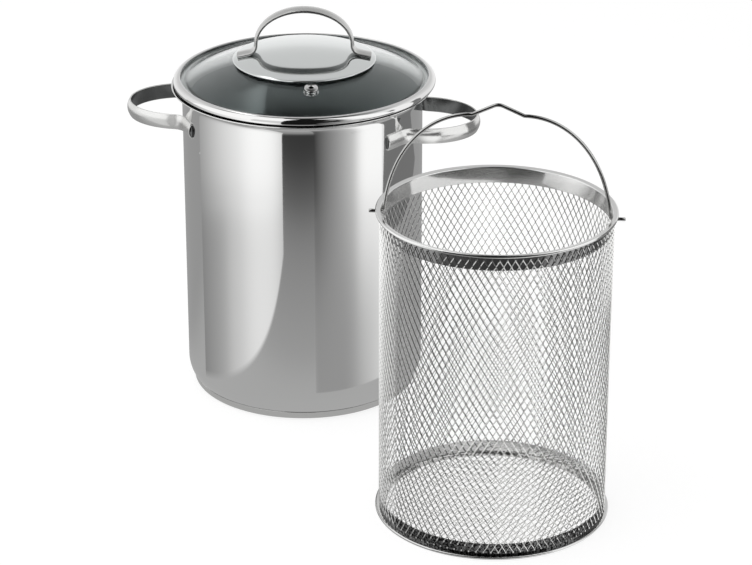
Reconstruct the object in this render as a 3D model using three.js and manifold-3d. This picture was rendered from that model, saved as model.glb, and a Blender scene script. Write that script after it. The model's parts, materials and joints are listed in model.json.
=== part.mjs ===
// Tall asparagus pot with a glass lid, and the mesh basket that stands beside it.
// Millimetres, +Z up. The origin is the centre of the pot's base, on the surface that it stands on,
// and +X runs through the right-hand side handle.

import * as THREE from 'three';
import { mergeVertices } from 'three/addons/utils/BufferGeometryUtils.js';
import Module from 'manifold-3d';

// Fits and facets shared by the pieces
const SEAT_GAP = 0.3;
const ROUND_SEGMENTS = 40;
const SMALL_SEGMENTS = 16;
const ARC_STEPS = 3;
const EDGE_STEPS = 2;
const CHAMFER_STEPS = 1;
const CURVE_STEPS = 10;
const DOME_STEPS = 6;
const MERGE_DISTANCE = 1e-4;
const DRILL_OVERRUN = 5;

// Pot body
const POT_OUTER_RADIUS = 80;
const POT_HEIGHT = 212.5;
const POT_WALL = 0.8;
const POT_CORNER_RADIUS = 20;
const RIM_FLARE_WIDTH = 7;
const RIM_FLARE_RISE = 8.7;

// Capsule base
const BASE_INSET = 3.3;
const CORE_THICKNESS = 5.4;
const CAP_WALL = 0.6;
const CAP_STEP = 0.4;
const CAP_EDGE_RADIUS = 3;

// Side handles
const SIDE_STRAP_HEIGHT = 10.4;
const SIDE_STRAP_THICKNESS = 2.6;
const SIDE_HANDLE_RIM_CLEARANCE = 7.1;
const SIDE_HANDLE_REACH = 39.4;
const SIDE_LOOP_HALF_WIDTH = 31.5;
const SIDE_FOOT_LENGTH = 19;
const SIDE_FOOT_BEND = 6;

// Lid band and glass
const LID_TURN_DEG = 9.5;
const LID_OVERHANG = 0.1;
const LID_SHEET = 0.5;
const LID_STEP = 0.95;
const LID_CURL_RISE = 0.85;
const LID_CURL_INSET = 0.5;
const LID_BAND_HEIGHT = 5.6;
const LID_CREST_INSET = 3.9;
const LID_GRIP_WIDTH = 0.8;
const LID_SEAT_WIDTH = 7.5;
const LID_SKIRT_DEPTH = 6.3;
const LID_PLAY = 2.1;
const LID_OFFSET = 1.5;
const GLASS_DOME_RADIUS = 188;
const GLASS_THICKNESS = 3.2;
const GLASS_EDGE_WIDTH = 5.3;
const GLASS_EDGE_THICKNESS = 2.75;

// Handle plate and lid handle
const PLATE_RADIUS = 47.5;
const PLATE_THICKNESS = 1;
const PLATE_GASKET_LAND = 11.7;
const PLATE_GASKET_THICKNESS = 0.6;
const LID_STRAP_WIDTH = 11;
const LID_STRAP_THICKNESS = 2.4;
const LID_ARCH_HEIGHT = 28.8;
const LID_FOOT_MARGIN = 3;
const LID_FOOT_LENGTH = 11.5;
const LID_FOOT_BEND = 6;

// Fastening under the lid
const BOSS_WALL = 1.8;
const SCREW_RADIUS = 1.9;
const SCREW_THREAD_DEPTH = 5;
const SCREW_HEAD_LAND = 3.6;
const SCREW_HEAD_HEIGHT = 2.2;
const SCREW_WASHER_LAND = 5.2;
const SCREW_WASHER_THICKNESS = 1;
const SCREW_GASKET_THICKNESS = 1;

// Steam vent
const VENT_PLATE_CLEARANCE = 0.5;
const VENT_BEARING_DEG = -83.9;
const VENT_BORE_RADIUS = 1.6;
const VENT_TUBE_WALL = 1.4;
const VENT_FLANGE_WIDTH = 1.5;
const VENT_FLANGE_THICKNESS = 0.8;
const VENT_GASKET_THICKNESS = 0.5;
const VENT_WASHER_WIDTH = 1.7;
const VENT_WASHER_THICKNESS = 0.6;
const VENT_CLINCH_WIDTH = 0.8;
const VENT_CLINCH_HEIGHT = 0.6;

// Basket, sized to drop into the pot
const BASKET_BEARING_DEG = -48.57;
const BASKET_GAP = 77.1;
const BASKET_TURN_DEG = 4.2;
const BASKET_POT_CLEARANCE = 5.6;
const BASKET_HEADROOM = 4.2;
const BAND_THICKNESS = 0.5;
const BAND_INSET = 3.2;
const TOP_BAND_BELOW_PIN = 6.7;
const TOP_LIP_HEIGHT = 2.2;
const BOTTOM_BAND_RISE = 7.7;
const BOTTOM_LIP_HEIGHT = 1.8;
const FLOOR_SHELF_WIDTH = 3.5;
const FLOOR_SHELF_THICKNESS = 0.8;
const FLOOR_THICKNESS = 1;

// Expanded metal: each modelled cell stands for a patch of the fine mesh
const MESH_THICKNESS = 0.6;
const MESH_CELLS_AROUND = 20;
const MESH_ROWS = 9;
const MESH_STRAND = 2.6;
const MESH_BELOW_PIN = 7.7;
const MESH_BOTTOM_BORDER = 8.2;
const FLOOR_CELL_WIDTH = 17;
const FLOOR_CELL_LENGTH = 29;
const FLOOR_EDGE_BORDER = 4;

// Bail
const WIRE_RADIUS = 1.15;
const WIRE_SIDES = 8;
const PIN_LIP_CLEARANCE = 0.95;
const PIN_PROUD = 4.2;
const PIN_HOLE_CLEARANCE = 0.35;
const BAIL_BEND_INNER_RADIUS = 0.85;
const BAIL_LEG_LEAN = 4;
const BAIL_LEG_PULL = 41;
const BAIL_SHOULDER_HEIGHT = 64.2;
const BAIL_SHOULDER_PULL = 26.4;
const BAIL_PEAK_HALF_WIDTH = 15.6;
const BAIL_PEAK_RISE = 7.1;

// Heights and radii that follow from the sizes above
const seamHeight = CAP_WALL + CORE_THICKNESS;
const potInnerRadius = POT_OUTER_RADIUS - POT_WALL;
const potFloor = seamHeight + POT_WALL;
const rimRadius = POT_OUTER_RADIUS + RIM_FLARE_WIDTH;
const flareHeight = POT_HEIGHT - POT_WALL - RIM_FLARE_RISE;
const sideHandleHeight = flareHeight - SIDE_HANDLE_RIM_CLEARANCE - SIDE_STRAP_HEIGHT / 2;

const lidRadius = rimRadius + LID_OVERHANG;
const skirtOuterRadius = potInnerRadius - LID_PLAY;
const skirtInnerRadius = skirtOuterRadius - LID_SHEET;
const lidSeatRadius = skirtOuterRadius + LID_SEAT_WIDTH;
const glassEdgeRadius = lidSeatRadius - LID_SHEET - SEAT_GAP;
const glassEdgeLow = LID_SHEET + SEAT_GAP;
const glassEdgeHigh = glassEdgeLow + GLASS_EDGE_THICKNESS;
const domeFootRadius = glassEdgeRadius - GLASS_EDGE_WIDTH;
const domeCentre = glassEdgeHigh - Math.sqrt(GLASS_DOME_RADIUS ** 2 - domeFootRadius ** 2);
const glassUnderRadius = GLASS_DOME_RADIUS - GLASS_THICKNESS;
const plateUnderRadius = GLASS_DOME_RADIUS + PLATE_GASKET_THICKNESS + 2 * SEAT_GAP;
const plateTopRadius = plateUnderRadius + PLATE_THICKNESS;
const lidFootReach = PLATE_RADIUS - LID_FOOT_MARGIN;

const threadRadius = SCREW_RADIUS + SEAT_GAP;
const bossRadius = threadRadius + BOSS_WALL;
const bossHoleRadius = bossRadius + SEAT_GAP;
const screwWasherRadius = bossHoleRadius + SCREW_WASHER_LAND;

const ventTubeRadius = VENT_BORE_RADIUS + VENT_TUBE_WALL;
const ventHoleRadius = ventTubeRadius + SEAT_GAP;
const ventFlangeRadius = ventTubeRadius + VENT_FLANGE_WIDTH;
const ventFromCentre = PLATE_RADIUS + VENT_PLATE_CLEARANCE + ventFlangeRadius;

const basketLipRadius = potInnerRadius - BASKET_POT_CLEARANCE;
const basketHeight = POT_HEIGHT - potFloor - BASKET_HEADROOM;
const bandOuterRadius = basketLipRadius - BAND_INSET;
const bandInnerRadius = bandOuterRadius - BAND_THICKNESS;
const meshInnerRadius = bandOuterRadius + SEAT_GAP;
const meshOuterRadius = meshInnerRadius + MESH_THICKNESS;
const meshLow = BOTTOM_LIP_HEIGHT + SEAT_GAP;
const meshHigh = basketHeight - TOP_LIP_HEIGHT - SEAT_GAP;
const pinHeight = basketHeight - TOP_LIP_HEIGHT - PIN_LIP_CLEARANCE - WIRE_RADIUS;

// Materials
function finish(color, roughness, metalness) {
  return new THREE.MeshStandardMaterial({ color, roughness, metalness });
}

const polishedSteel = finish(0xc8cbcc, 0.12, 1);
const brushedSteel = finish(0xb4b7b8, 0.3, 1);
const aluminium = finish(0xa9acae, 0.45, 1);
const meshSteel = finish(0xb9bbba, 0.35, 1);
const silicone = finish(0x3a3c3c, 0.7, 0);
const lidGlass = finish(0x8f9a97, 0.05, 0);
lidGlass.transparent = true;
lidGlass.opacity = 0.45;

// Points of an ellipse's arc in a profile, angles in radians from the first axis
function ellipse(centreX, centreY, radiusX, radiusY, from, to, steps = ARC_STEPS) {
  const points = [];
  for (let i = 0; i <= steps; i++) {
    const angle = from + ((to - from) * i) / steps;
    points.push(new THREE.Vector2(centreX + radiusX * Math.cos(angle), centreY + radiusY * Math.sin(angle)));
  }
  return points;
}

function arc(centreX, centreY, radius, from, to, steps) {
  return ellipse(centreX, centreY, radius, radius, from, to, steps);
}

function at(x, y) {
  return new THREE.Vector2(x, y);
}

// Turns a profile of (radius, height) points, listed anticlockwise, about the Z axis
function turned(profile, segments = ROUND_SEGMENTS) {
  return new THREE.LatheGeometry(profile, segments).rotateX(Math.PI / 2);
}

// A profile that doesn't touch the axis is closed on itself
function turnedRing(profile, segments = ROUND_SEGMENTS) {
  return turned([...profile, profile[0].clone()], segments);
}

function washer(innerRadius, outerRadius, low, high, segments = SMALL_SEGMENTS) {
  const profile = [
    at(innerRadius, low),
    at(outerRadius, low),
    at(outerRadius, high),
    at(innerRadius, high),
  ];
  return turnedRing(profile, segments);
}

function named(name, geometry, material) {
  const mesh = new THREE.Mesh(geometry, material);
  mesh.name = name;
  return mesh;
}

// Boolean cuts
const wasm = await Module();
wasm.setup();

function toSolid(geometry) {
  const bare = geometry.clone();
  bare.deleteAttribute('normal');
  bare.deleteAttribute('uv');
  const merged = mergeVertices(bare, MERGE_DISTANCE);
  const corners = merged.index.array;
  const kept = [];
  for (let i = 0; i < corners.length; i += 3) {
    const [a, b, c] = corners.slice(i, i + 3);
    if (a !== b && b !== c && c !== a) kept.push(a, b, c);
  }
  const vertProperties = new Float32Array(merged.attributes.position.array);
  return new wasm.Manifold(new wasm.Mesh({ numProp: 3, vertProperties, triVerts: new Uint32Array(kept) }));
}

function cut(geometry, cutter) {
  const mesh = toSolid(geometry).subtract(toSolid(cutter)).getMesh();
  const result = new THREE.BufferGeometry();
  result.setAttribute('position', new THREE.BufferAttribute(mesh.vertProperties, 3));
  result.setIndex(new THREE.BufferAttribute(mesh.triVerts, 1));
  return result;
}

// A flat strap: a centre line given a thickness to both sides, then extruded to its width
function strap(centreLine, thickness, width) {
  const left = [];
  const right = [];
  centreLine.forEach((point, i) => {
    const before = centreLine[Math.max(i - 1, 0)];
    const after = centreLine[Math.min(i + 1, centreLine.length - 1)];
    const along = after.clone().sub(before).normalize();
    const aside = at(-along.y, along.x).multiplyScalar(thickness / 2);
    left.push(point.clone().add(aside));
    right.push(point.clone().sub(aside));
  });
  const outline = new THREE.Shape([...right, ...left.reverse()]);
  return new THREE.ExtrudeGeometry(outline, { depth: width, bevelEnabled: false }).translate(0, 0, -width / 2);
}

function fillet(start, corner, end, steps = ARC_STEPS) {
  return new THREE.QuadraticBezierCurve(start, corner, end).getPoints(steps);
}

function mirrored(points) {
  return points.slice(0, -1).reverse().map((point) => at(-point.x, point.y));
}

// Pot: a deep-drawn vessel whose flat bottom meets the capsule at the seam
function potBody() {
  const cornerX = POT_OUTER_RADIUS - POT_CORNER_RADIUS;
  const cornerRise = Math.sqrt(POT_CORNER_RADIUS ** 2 - (POT_CORNER_RADIUS - BASE_INSET) ** 2);
  const cornerZ = seamHeight + cornerRise;
  const outerAngle = Math.asin(cornerRise / POT_CORNER_RADIUS);
  const innerCornerRadius = POT_CORNER_RADIUS - POT_WALL;
  const innerAngle = Math.asin((cornerZ - potFloor) / innerCornerRadius);
  const innerFlareWidth = RIM_FLARE_WIDTH + POT_WALL;
  const innerFlareRise = RIM_FLARE_RISE + POT_WALL;
  const profile = [
    at(0, seamHeight),
    ...arc(cornerX, cornerZ, POT_CORNER_RADIUS, -outerAngle, 0),
    ...ellipse(rimRadius, flareHeight, RIM_FLARE_WIDTH, RIM_FLARE_RISE, Math.PI, Math.PI / 2),
    ...ellipse(rimRadius, flareHeight, innerFlareWidth, innerFlareRise, Math.PI / 2, Math.PI),
    ...arc(cornerX, cornerZ, innerCornerRadius, 0, -innerAngle),
    at(0, potFloor),
  ];
  return named('pot_body', turned(profile), polishedSteel);
}

const capRadius = POT_OUTER_RADIUS - BASE_INSET - CAP_STEP;
const capEdge = Math.min(CAP_EDGE_RADIUS, seamHeight - SEAT_GAP);

function baseCap() {
  const edgeX = capRadius - capEdge;
  const capTop = seamHeight - SEAT_GAP;
  const innerEdge = Math.max(capEdge - CAP_WALL, 0);
  const profile = [
    at(0, 0),
    ...arc(edgeX, capEdge, capEdge, -Math.PI / 2, 0),
    at(capRadius, capTop),
    at(capRadius - CAP_WALL, capTop),
    ...arc(capRadius - CAP_WALL - innerEdge, CAP_WALL + innerEdge, innerEdge, 0, -Math.PI / 2),
    at(0, CAP_WALL),
  ];
  return named('base_cap', turned(profile), brushedSteel);
}

function baseCore() {
  const coreRadius = capRadius - CAP_WALL - SEAT_GAP;
  const profile = [
    at(0, CAP_WALL),
    at(coreRadius - capEdge, CAP_WALL),
    at(coreRadius, CAP_WALL + Math.min(capEdge, CORE_THICKNESS / 2)),
    at(coreRadius, seamHeight),
    at(0, seamHeight),
  ];
  return named('base_core', turned(profile), aluminium);
}

// Side handle: a half-ellipse loop whose ends turn outward along the body
function sideHandle(name, turn) {
  const footRadius = POT_OUTER_RADIUS + SEAT_GAP + SIDE_STRAP_THICKNESS / 2;
  const loopAngle = Math.asin(SIDE_LOOP_HALF_WIDTH / footRadius);
  const bend = Math.min(SIDE_FOOT_BEND, SIDE_FOOT_LENGTH / 2);
  const bendAngle = loopAngle + bend / footRadius;
  const endAngle = loopAngle + SIDE_FOOT_LENGTH / footRadius;
  const foot = arc(0, 0, footRadius, endAngle, bendAngle);
  const root = at(footRadius * Math.cos(loopAngle), SIDE_LOOP_HALF_WIDTH);
  const legEnd = at(root.x + bend, SIDE_LOOP_HALF_WIDTH);
  const tip = POT_OUTER_RADIUS + SIDE_HANDLE_REACH - SIDE_STRAP_THICKNESS / 2;
  const loop = new THREE.EllipseCurve(legEnd.x, 0, tip - legEnd.x, SIDE_LOOP_HALF_WIDTH, Math.PI / 2, 0, true);
  const footBend = fillet(foot.at(-1), root, legEnd).slice(1);
  const upper = [...foot, ...footBend, ...loop.getPoints(CURVE_STEPS).slice(1)];
  const lower = upper.slice(0, -1).reverse().map((point) => at(point.x, -point.y));
  const bentStrap = strap([...upper, ...lower], SIDE_STRAP_THICKNESS, SIDE_STRAP_HEIGHT);
  const handle = named(name, bentStrap, brushedSteel);
  handle.position.z = sideHandleHeight;
  handle.rotation.z = turn;
  return handle;
}

// Heights on the lid's concentric domes, measured in the lid's own frame
function domeHeight(domeRadius, radius) {
  return domeCentre + Math.sqrt(domeRadius ** 2 - radius ** 2);
}

function domeArc(domeRadius, fromRadius, toRadius, steps = ARC_STEPS) {
  const from = Math.PI / 2 - Math.asin(fromRadius / domeRadius);
  const to = Math.PI / 2 - Math.asin(toRadius / domeRadius);
  return arc(0, domeCentre, domeRadius, from, to, steps);
}

// Lid band: one rolled sheet that hangs a skirt inside the pot, carries the flat edge of the glass
// and rolls over it
function lidRim() {
  const crestX = lidRadius - LID_CREST_INSET;
  const gripX = crestX - LID_GRIP_WIDTH;
  const gripLow = glassEdgeHigh + SEAT_GAP;
  const curlX = lidRadius - LID_CURL_INSET;
  const curlHigh = LID_STEP + LID_CURL_RISE;
  const crestRise = LID_BAND_HEIGHT - curlHigh;
  const innerSeatX = lidSeatRadius - LID_SHEET;
  const quarter = Math.PI / 2;
  const profile = [
    at(skirtInnerRadius, -LID_SKIRT_DEPTH),
    at(skirtOuterRadius, -LID_SKIRT_DEPTH),
    at(skirtOuterRadius, 0),
    at(lidSeatRadius, 0),
    at(lidSeatRadius, LID_STEP),
    at(curlX, LID_STEP),
    ...ellipse(crestX, curlHigh, LID_CREST_INSET, crestRise, 0, quarter),
    at(gripX, LID_BAND_HEIGHT - LID_SHEET),
    at(gripX, gripLow),
    at(gripX + LID_SHEET, gripLow),
    at(gripX + LID_SHEET, LID_BAND_HEIGHT - 2 * LID_SHEET),
    ...ellipse(crestX, curlHigh, LID_CREST_INSET - LID_SHEET, crestRise - LID_SHEET, quarter, 0),
    at(curlX - LID_SHEET, LID_STEP + LID_SHEET),
    at(innerSeatX, LID_STEP + LID_SHEET),
    at(innerSeatX, LID_SHEET),
    at(skirtInnerRadius, LID_SHEET),
  ];
  return named('lid_rim', turnedRing(profile), polishedSteel);
}

// The vent stands square to the dome
function atVent(...contents) {
  const tilt = Math.asin(ventFromCentre / GLASS_DOME_RADIUS);
  const seat = new THREE.Group();
  seat.position.set(ventFromCentre, 0, domeHeight(GLASS_DOME_RADIUS, ventFromCentre));
  seat.rotation.y = tilt;
  seat.add(...contents);
  const bearing = new THREE.Group();
  bearing.rotation.z = THREE.MathUtils.degToRad(VENT_BEARING_DEG);
  bearing.add(seat);
  bearing.updateMatrixWorld(true);
  return bearing;
}

function lidGlassDome() {
  const underEdge = Math.sqrt(glassUnderRadius ** 2 - (glassEdgeLow - domeCentre) ** 2);
  const profile = [
    ...domeArc(glassUnderRadius, bossHoleRadius, underEdge, DOME_STEPS),
    at(glassEdgeRadius, glassEdgeLow),
    at(glassEdgeRadius, glassEdgeHigh),
    ...domeArc(GLASS_DOME_RADIUS, domeFootRadius, bossHoleRadius, DOME_STEPS),
  ];
  const drillLength = 2 * (GLASS_THICKNESS + DRILL_OVERRUN);
  const drill = new THREE.CylinderGeometry(ventHoleRadius, ventHoleRadius, drillLength, SMALL_SEGMENTS);
  const cutter = new THREE.Mesh(drill.rotateX(Math.PI / 2));
  atVent(cutter);
  drill.applyMatrix4(cutter.matrixWorld);
  return named('lid_glass', cut(turnedRing(profile), drill), lidGlass);
}

function vent() {
  const flangeLow = SEAT_GAP + VENT_GASKET_THICKNESS;
  const washerHigh = -GLASS_THICKNESS - SEAT_GAP;
  const washerLow = washerHigh - VENT_WASHER_THICKNESS;
  const clinchHigh = washerLow - SEAT_GAP;
  const clinchLow = clinchHigh - VENT_CLINCH_HEIGHT;
  const washerRadius = ventHoleRadius + VENT_WASHER_WIDTH;
  const eyelet = [
    at(VENT_BORE_RADIUS, clinchLow),
    at(ventTubeRadius + VENT_CLINCH_WIDTH, clinchLow),
    at(ventTubeRadius + VENT_CLINCH_WIDTH, clinchHigh),
    at(ventTubeRadius, clinchHigh),
    at(ventTubeRadius, flangeLow),
    at(ventFlangeRadius, flangeLow),
    at(ventFlangeRadius, flangeLow + VENT_FLANGE_THICKNESS / 2),
    at(ventTubeRadius, flangeLow + VENT_FLANGE_THICKNESS),
    at(VENT_BORE_RADIUS, flangeLow + VENT_FLANGE_THICKNESS),
  ];
  return atVent(
    named('vent_eyelet', turnedRing(eyelet, SMALL_SEGMENTS), polishedSteel),
    named('vent_gasket', washer(ventHoleRadius, ventFlangeRadius, SEAT_GAP, flangeLow), silicone),
    named('vent_washer', washer(ventHoleRadius, washerRadius, washerLow, washerHigh), brushedSteel),
  );
}

function handlePlate() {
  const profile = [...domeArc(plateUnderRadius, 0, PLATE_RADIUS), ...domeArc(plateTopRadius, PLATE_RADIUS, 0)];
  return named('handle_plate', turned(profile), polishedSteel);
}

// Lid handle: a round arch on two feet that follow the plate's dome
function lidHandle() {
  const footRadius = plateTopRadius + SEAT_GAP + LID_STRAP_THICKNESS / 2;
  const legX = lidFootReach - LID_FOOT_LENGTH - LID_STRAP_THICKNESS / 2;
  const bend = Math.min(LID_FOOT_BEND, LID_FOOT_LENGTH / 2);
  const foot = domeArc(footRadius, lidFootReach, legX + bend, EDGE_STEPS);
  const root = at(legX, domeHeight(footRadius, legX));
  const legTop = at(legX, root.y + bend);
  const apex = domeHeight(plateTopRadius, 0) + LID_ARCH_HEIGHT - LID_STRAP_THICKNESS / 2;
  const arch = new THREE.EllipseCurve(0, legTop.y, legX, apex - legTop.y, 0, Math.PI / 2);
  const footBend = fillet(foot.at(-1), root, legTop).slice(1);
  const right = [...foot, ...footBend, ...arch.getPoints(CURVE_STEPS).slice(1)];
  const side = strap([...right, ...mirrored(right)], LID_STRAP_THICKNESS, LID_STRAP_WIDTH);
  return named('lid_handle', side.rotateX(Math.PI / 2), polishedSteel);
}

// Fastening: a boss under the plate passes through the glass and takes a screw from below
function lidFastening() {
  const gasketRadius = bossHoleRadius + PLATE_GASKET_LAND;
  const gasketLow = GLASS_DOME_RADIUS + SEAT_GAP;
  const plateGasket = [
    ...domeArc(gasketLow, bossHoleRadius, gasketRadius, CHAMFER_STEPS),
    ...domeArc(gasketLow + PLATE_GASKET_THICKNESS, gasketRadius, bossHoleRadius, CHAMFER_STEPS),
  ];
  const sealHigh = domeHeight(glassUnderRadius, screwWasherRadius) - SEAT_GAP;
  const washerHigh = sealHigh - SCREW_GASKET_THICKNESS;
  const headHigh = washerHigh - SCREW_WASHER_THICKNESS;
  const bossHigh = domeHeight(plateUnderRadius, bossRadius) - SEAT_GAP;
  const bossLow = washerHigh + SEAT_GAP;
  const headRadius = SCREW_RADIUS + SCREW_HEAD_LAND;
  const screwTip = bossLow + Math.min(SCREW_THREAD_DEPTH, bossHigh - bossLow - SEAT_GAP);
  const screw = [
    at(0, headHigh - SCREW_HEAD_HEIGHT),
    at(headRadius, headHigh - SCREW_HEAD_HEIGHT),
    at(headRadius, headHigh),
    at(SCREW_RADIUS, headHigh),
    at(SCREW_RADIUS, screwTip),
    at(0, screwTip),
  ];
  return [
    named('plate_gasket', turnedRing(plateGasket), silicone),
    named('plate_boss', washer(threadRadius, bossRadius, bossLow, bossHigh), brushedSteel),
    named('screw_gasket', washer(bossHoleRadius, screwWasherRadius, washerHigh, sealHigh), silicone),
    named('screw_washer', washer(threadRadius, screwWasherRadius, headHigh, washerHigh), brushedSteel),
    named('lid_screw', turned(screw, SMALL_SEGMENTS), brushedSteel),
  ];
}

// Pin holes on the bail's axis, through the band and the mesh
function drillPinHoles(geometry) {
  const holeRadius = WIRE_RADIUS + PIN_HOLE_CLEARANCE;
  const drillLength = 2 * (basketLipRadius + DRILL_OVERRUN);
  const drill = new THREE.CylinderGeometry(holeRadius, holeRadius, drillLength, SMALL_SEGMENTS);
  return cut(geometry, drill.rotateZ(Math.PI / 2).translate(0, 0, pinHeight));
}

// Rolled lip: the outer edge of a band, rounded above and below
function rolledLip(low, high) {
  const round = Math.min((high - low) / 2, BAND_INSET / 2);
  const centreX = basketLipRadius - round;
  return [
    ...arc(centreX, low + round, round, -Math.PI / 2, 0, EDGE_STEPS),
    ...arc(centreX, high - round, round, 0, Math.PI / 2, EDGE_STEPS),
  ];
}

function basketRim() {
  const bandLow = pinHeight - TOP_BAND_BELOW_PIN;
  const profile = [
    at(bandInnerRadius, bandLow),
    at(bandOuterRadius, bandLow),
    at(bandOuterRadius, basketHeight - TOP_LIP_HEIGHT),
    ...rolledLip(basketHeight - TOP_LIP_HEIGHT, basketHeight),
    at(bandInnerRadius, basketHeight),
  ];
  return named('basket_rim', drillPinHoles(turnedRing(profile)), polishedSteel);
}

function basketBaseRing() {
  const bandHigh = BOTTOM_LIP_HEIGHT + BOTTOM_BAND_RISE;
  const profile = [
    at(bandInnerRadius - FLOOR_SHELF_WIDTH, 0),
    ...rolledLip(0, BOTTOM_LIP_HEIGHT),
    at(bandOuterRadius, BOTTOM_LIP_HEIGHT),
    at(bandOuterRadius, bandHigh),
    at(bandInnerRadius, bandHigh),
    at(bandInnerRadius, FLOOR_SHELF_THICKNESS),
    at(bandInnerRadius - FLOOR_SHELF_WIDTH, FLOOR_SHELF_THICKNESS),
  ];
  return named('basket_base_ring', turnedRing(profile), polishedSteel);
}

// How far a diamond with these half-diagonals shrinks to leave strands of the given width
function diamondOpening(halfWidth, halfHeight, strandWidth) {
  const edgeDistance = (halfWidth * halfHeight) / Math.hypot(halfWidth, halfHeight);
  return 1 - strandWidth / 2 / edgeDistance;
}

// Mesh tube: staggered rows of diamond openings between two plain borders.
// Openings sit where column and row are both odd or both even, and each one has a left, right,
// top and bottom corner on the outer and on the inner face.
function basketWall() {
  const columns = 2 * MESH_CELLS_AROUND;
  const columnAngle = (2 * Math.PI) / columns;
  const zoneLow = meshLow + MESH_BOTTOM_BORDER;
  const zoneHigh = pinHeight - MESH_BELOW_PIN;
  const rowRise = (zoneHigh - zoneLow) / (MESH_ROWS + 1);
  const opening = diamondOpening(columnAngle * meshOuterRadius, rowRise, MESH_STRAND);
  const positions = [];
  const triangles = [];
  const cornerIndex = new Map();

  function vertex(key, column, height) {
    if (!cornerIndex.has(key)) {
      cornerIndex.set(key, positions.length / 3);
      for (const radius of [meshOuterRadius, meshInnerRadius]) {
        const angle = column * columnAngle;
        positions.push(radius * Math.cos(angle), radius * Math.sin(angle), height);
      }
    }
    return cornerIndex.get(key);
  }
  const wrap = (column) => (column + columns) % columns;
  const rowHeight = (row) => zoneLow + (row + 1) * rowRise;
  const corner = (side, dx, dz) => (column, row) => {
    const c = wrap(column);
    return vertex(`${side} ${c} ${row}`, c + dx * opening, rowHeight(row) + dz * opening * rowRise);
  };
  const left = corner('left', -1, 0);
  const right = corner('right', 1, 0);
  const top = corner('top', 0, 1);
  const bottom = corner('bottom', 0, -1);
  const lowEdge = (column) => vertex(`low ${wrap(column)}`, wrap(column), meshLow);
  const highEdge = (column) => vertex(`high ${wrap(column)}`, wrap(column), meshHigh);

  // A patch of the two faces: outer corners are listed anticlockwise, and inner ones follow them
  function faces(...loop) {
    for (let i = 1; i < loop.length - 1; i++) {
      triangles.push(loop[0], loop[i], loop[i + 1]);
      triangles.push(loop[0] + 1, loop[i + 1] + 1, loop[i] + 1);
    }
  }
  // The wall through the thickness along an edge
  function wall(from, to) {
    triangles.push(from, to, to + 1);
    triangles.push(from, to + 1, from + 1);
  }

  const lastRow = MESH_ROWS - 1;
  for (let row = 0; row <= lastRow; row++) {
    for (let column = row % 2; column < columns; column += 2) {
      const [l, r, t, b] = [left(column, row), right(column, row), top(column, row), bottom(column, row)];
      wall(r, t);
      wall(t, l);
      wall(l, b);
      wall(b, r);
      const nextLeft = left(column + 2, row);
      if (row < lastRow) {
        faces(r, bottom(column + 1, row + 1), left(column + 1, row + 1), t);
        faces(t, right(column - 1, row + 1), bottom(column - 1, row + 1), l);
        faces(r, nextLeft, bottom(column + 1, row + 1));
      } else {
        faces(t, r, highEdge(column + 1), highEdge(column));
        faces(t, highEdge(column), highEdge(column - 1), l);
        faces(r, nextLeft, highEdge(column + 1));
      }
      if (row > 0) {
        faces(r, top(column + 1, row - 1), nextLeft);
      } else {
        faces(b, lowEdge(column), lowEdge(column + 1), r);
        faces(b, l, lowEdge(column - 1), lowEdge(column));
        faces(r, lowEdge(column + 1), nextLeft);
      }
    }
  }
  for (let column = 0; column < columns; column++) {
    wall(highEdge(column), highEdge(column + 1));
    wall(lowEdge(column + 1), lowEdge(column));
  }
  const geometry = new THREE.BufferGeometry();
  geometry.setAttribute('position', new THREE.Float32BufferAttribute(positions, 3));
  geometry.setIndex(triangles);
  return named('basket_wall', drillPinHoles(geometry), meshSteel);
}

// Flat net that lies on the base ring's shelf
function basketFloor() {
  const floorRadius = bandInnerRadius - SEAT_GAP;
  const netRadius = floorRadius - FLOOR_EDGE_BORDER;
  const halfWidth = FLOOR_CELL_WIDTH / 2;
  const halfLength = FLOOR_CELL_LENGTH / 2;
  const opening = diamondOpening(halfWidth, halfLength, MESH_STRAND);
  const disc = new THREE.Shape(arc(0, 0, floorRadius, 0, 2 * Math.PI, ROUND_SEGMENTS).slice(0, -1));
  const rows = Math.ceil(floorRadius / halfLength);
  const columns = Math.ceil(floorRadius / halfWidth);
  for (let row = -rows; row <= rows; row++) {
    for (let column = -columns; column <= columns; column++) {
      const x = column * halfWidth;
      const y = row * halfLength;
      const openWidth = opening * halfWidth;
      const openLength = opening * halfLength;
      const farSide = Math.hypot(Math.abs(x) + openWidth, y);
      const farEnd = Math.hypot(x, Math.abs(y) + openLength);
      if ((row + column) % 2 === 0 && Math.max(farSide, farEnd) < netRadius) {
        const sides = [at(x - openWidth, y), at(x + openWidth, y)];
        const ends = [at(x, y + openLength), at(x, y - openLength)];
        disc.holes.push(new THREE.Path([sides[0], ends[0], sides[1], ends[1]]));
      }
    }
  }
  const net = new THREE.ExtrudeGeometry(disc, { depth: FLOOR_THICKNESS, bevelEnabled: false });
  return named('basket_floor', net.translate(0, 0, FLOOR_SHELF_THICKNESS), meshSteel);
}

// A path that keeps to its given points, so that bends stay finely stepped and long runs stay plain
class PointPath extends THREE.Curve {
  constructor(points) {
    super();
    this.points = points;
  }

  getPointAt(u, target = new THREE.Vector3()) {
    return target.copy(this.points[Math.round(u * (this.points.length - 1))]);
  }

  getTangentAt(u, target = new THREE.Vector3()) {
    const i = Math.round(u * (this.points.length - 1));
    const before = this.points[Math.max(i - 1, 0)];
    const after = this.points[Math.min(i + 1, this.points.length - 1)];
    return target.copy(after).sub(before).normalize();
  }
}

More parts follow.
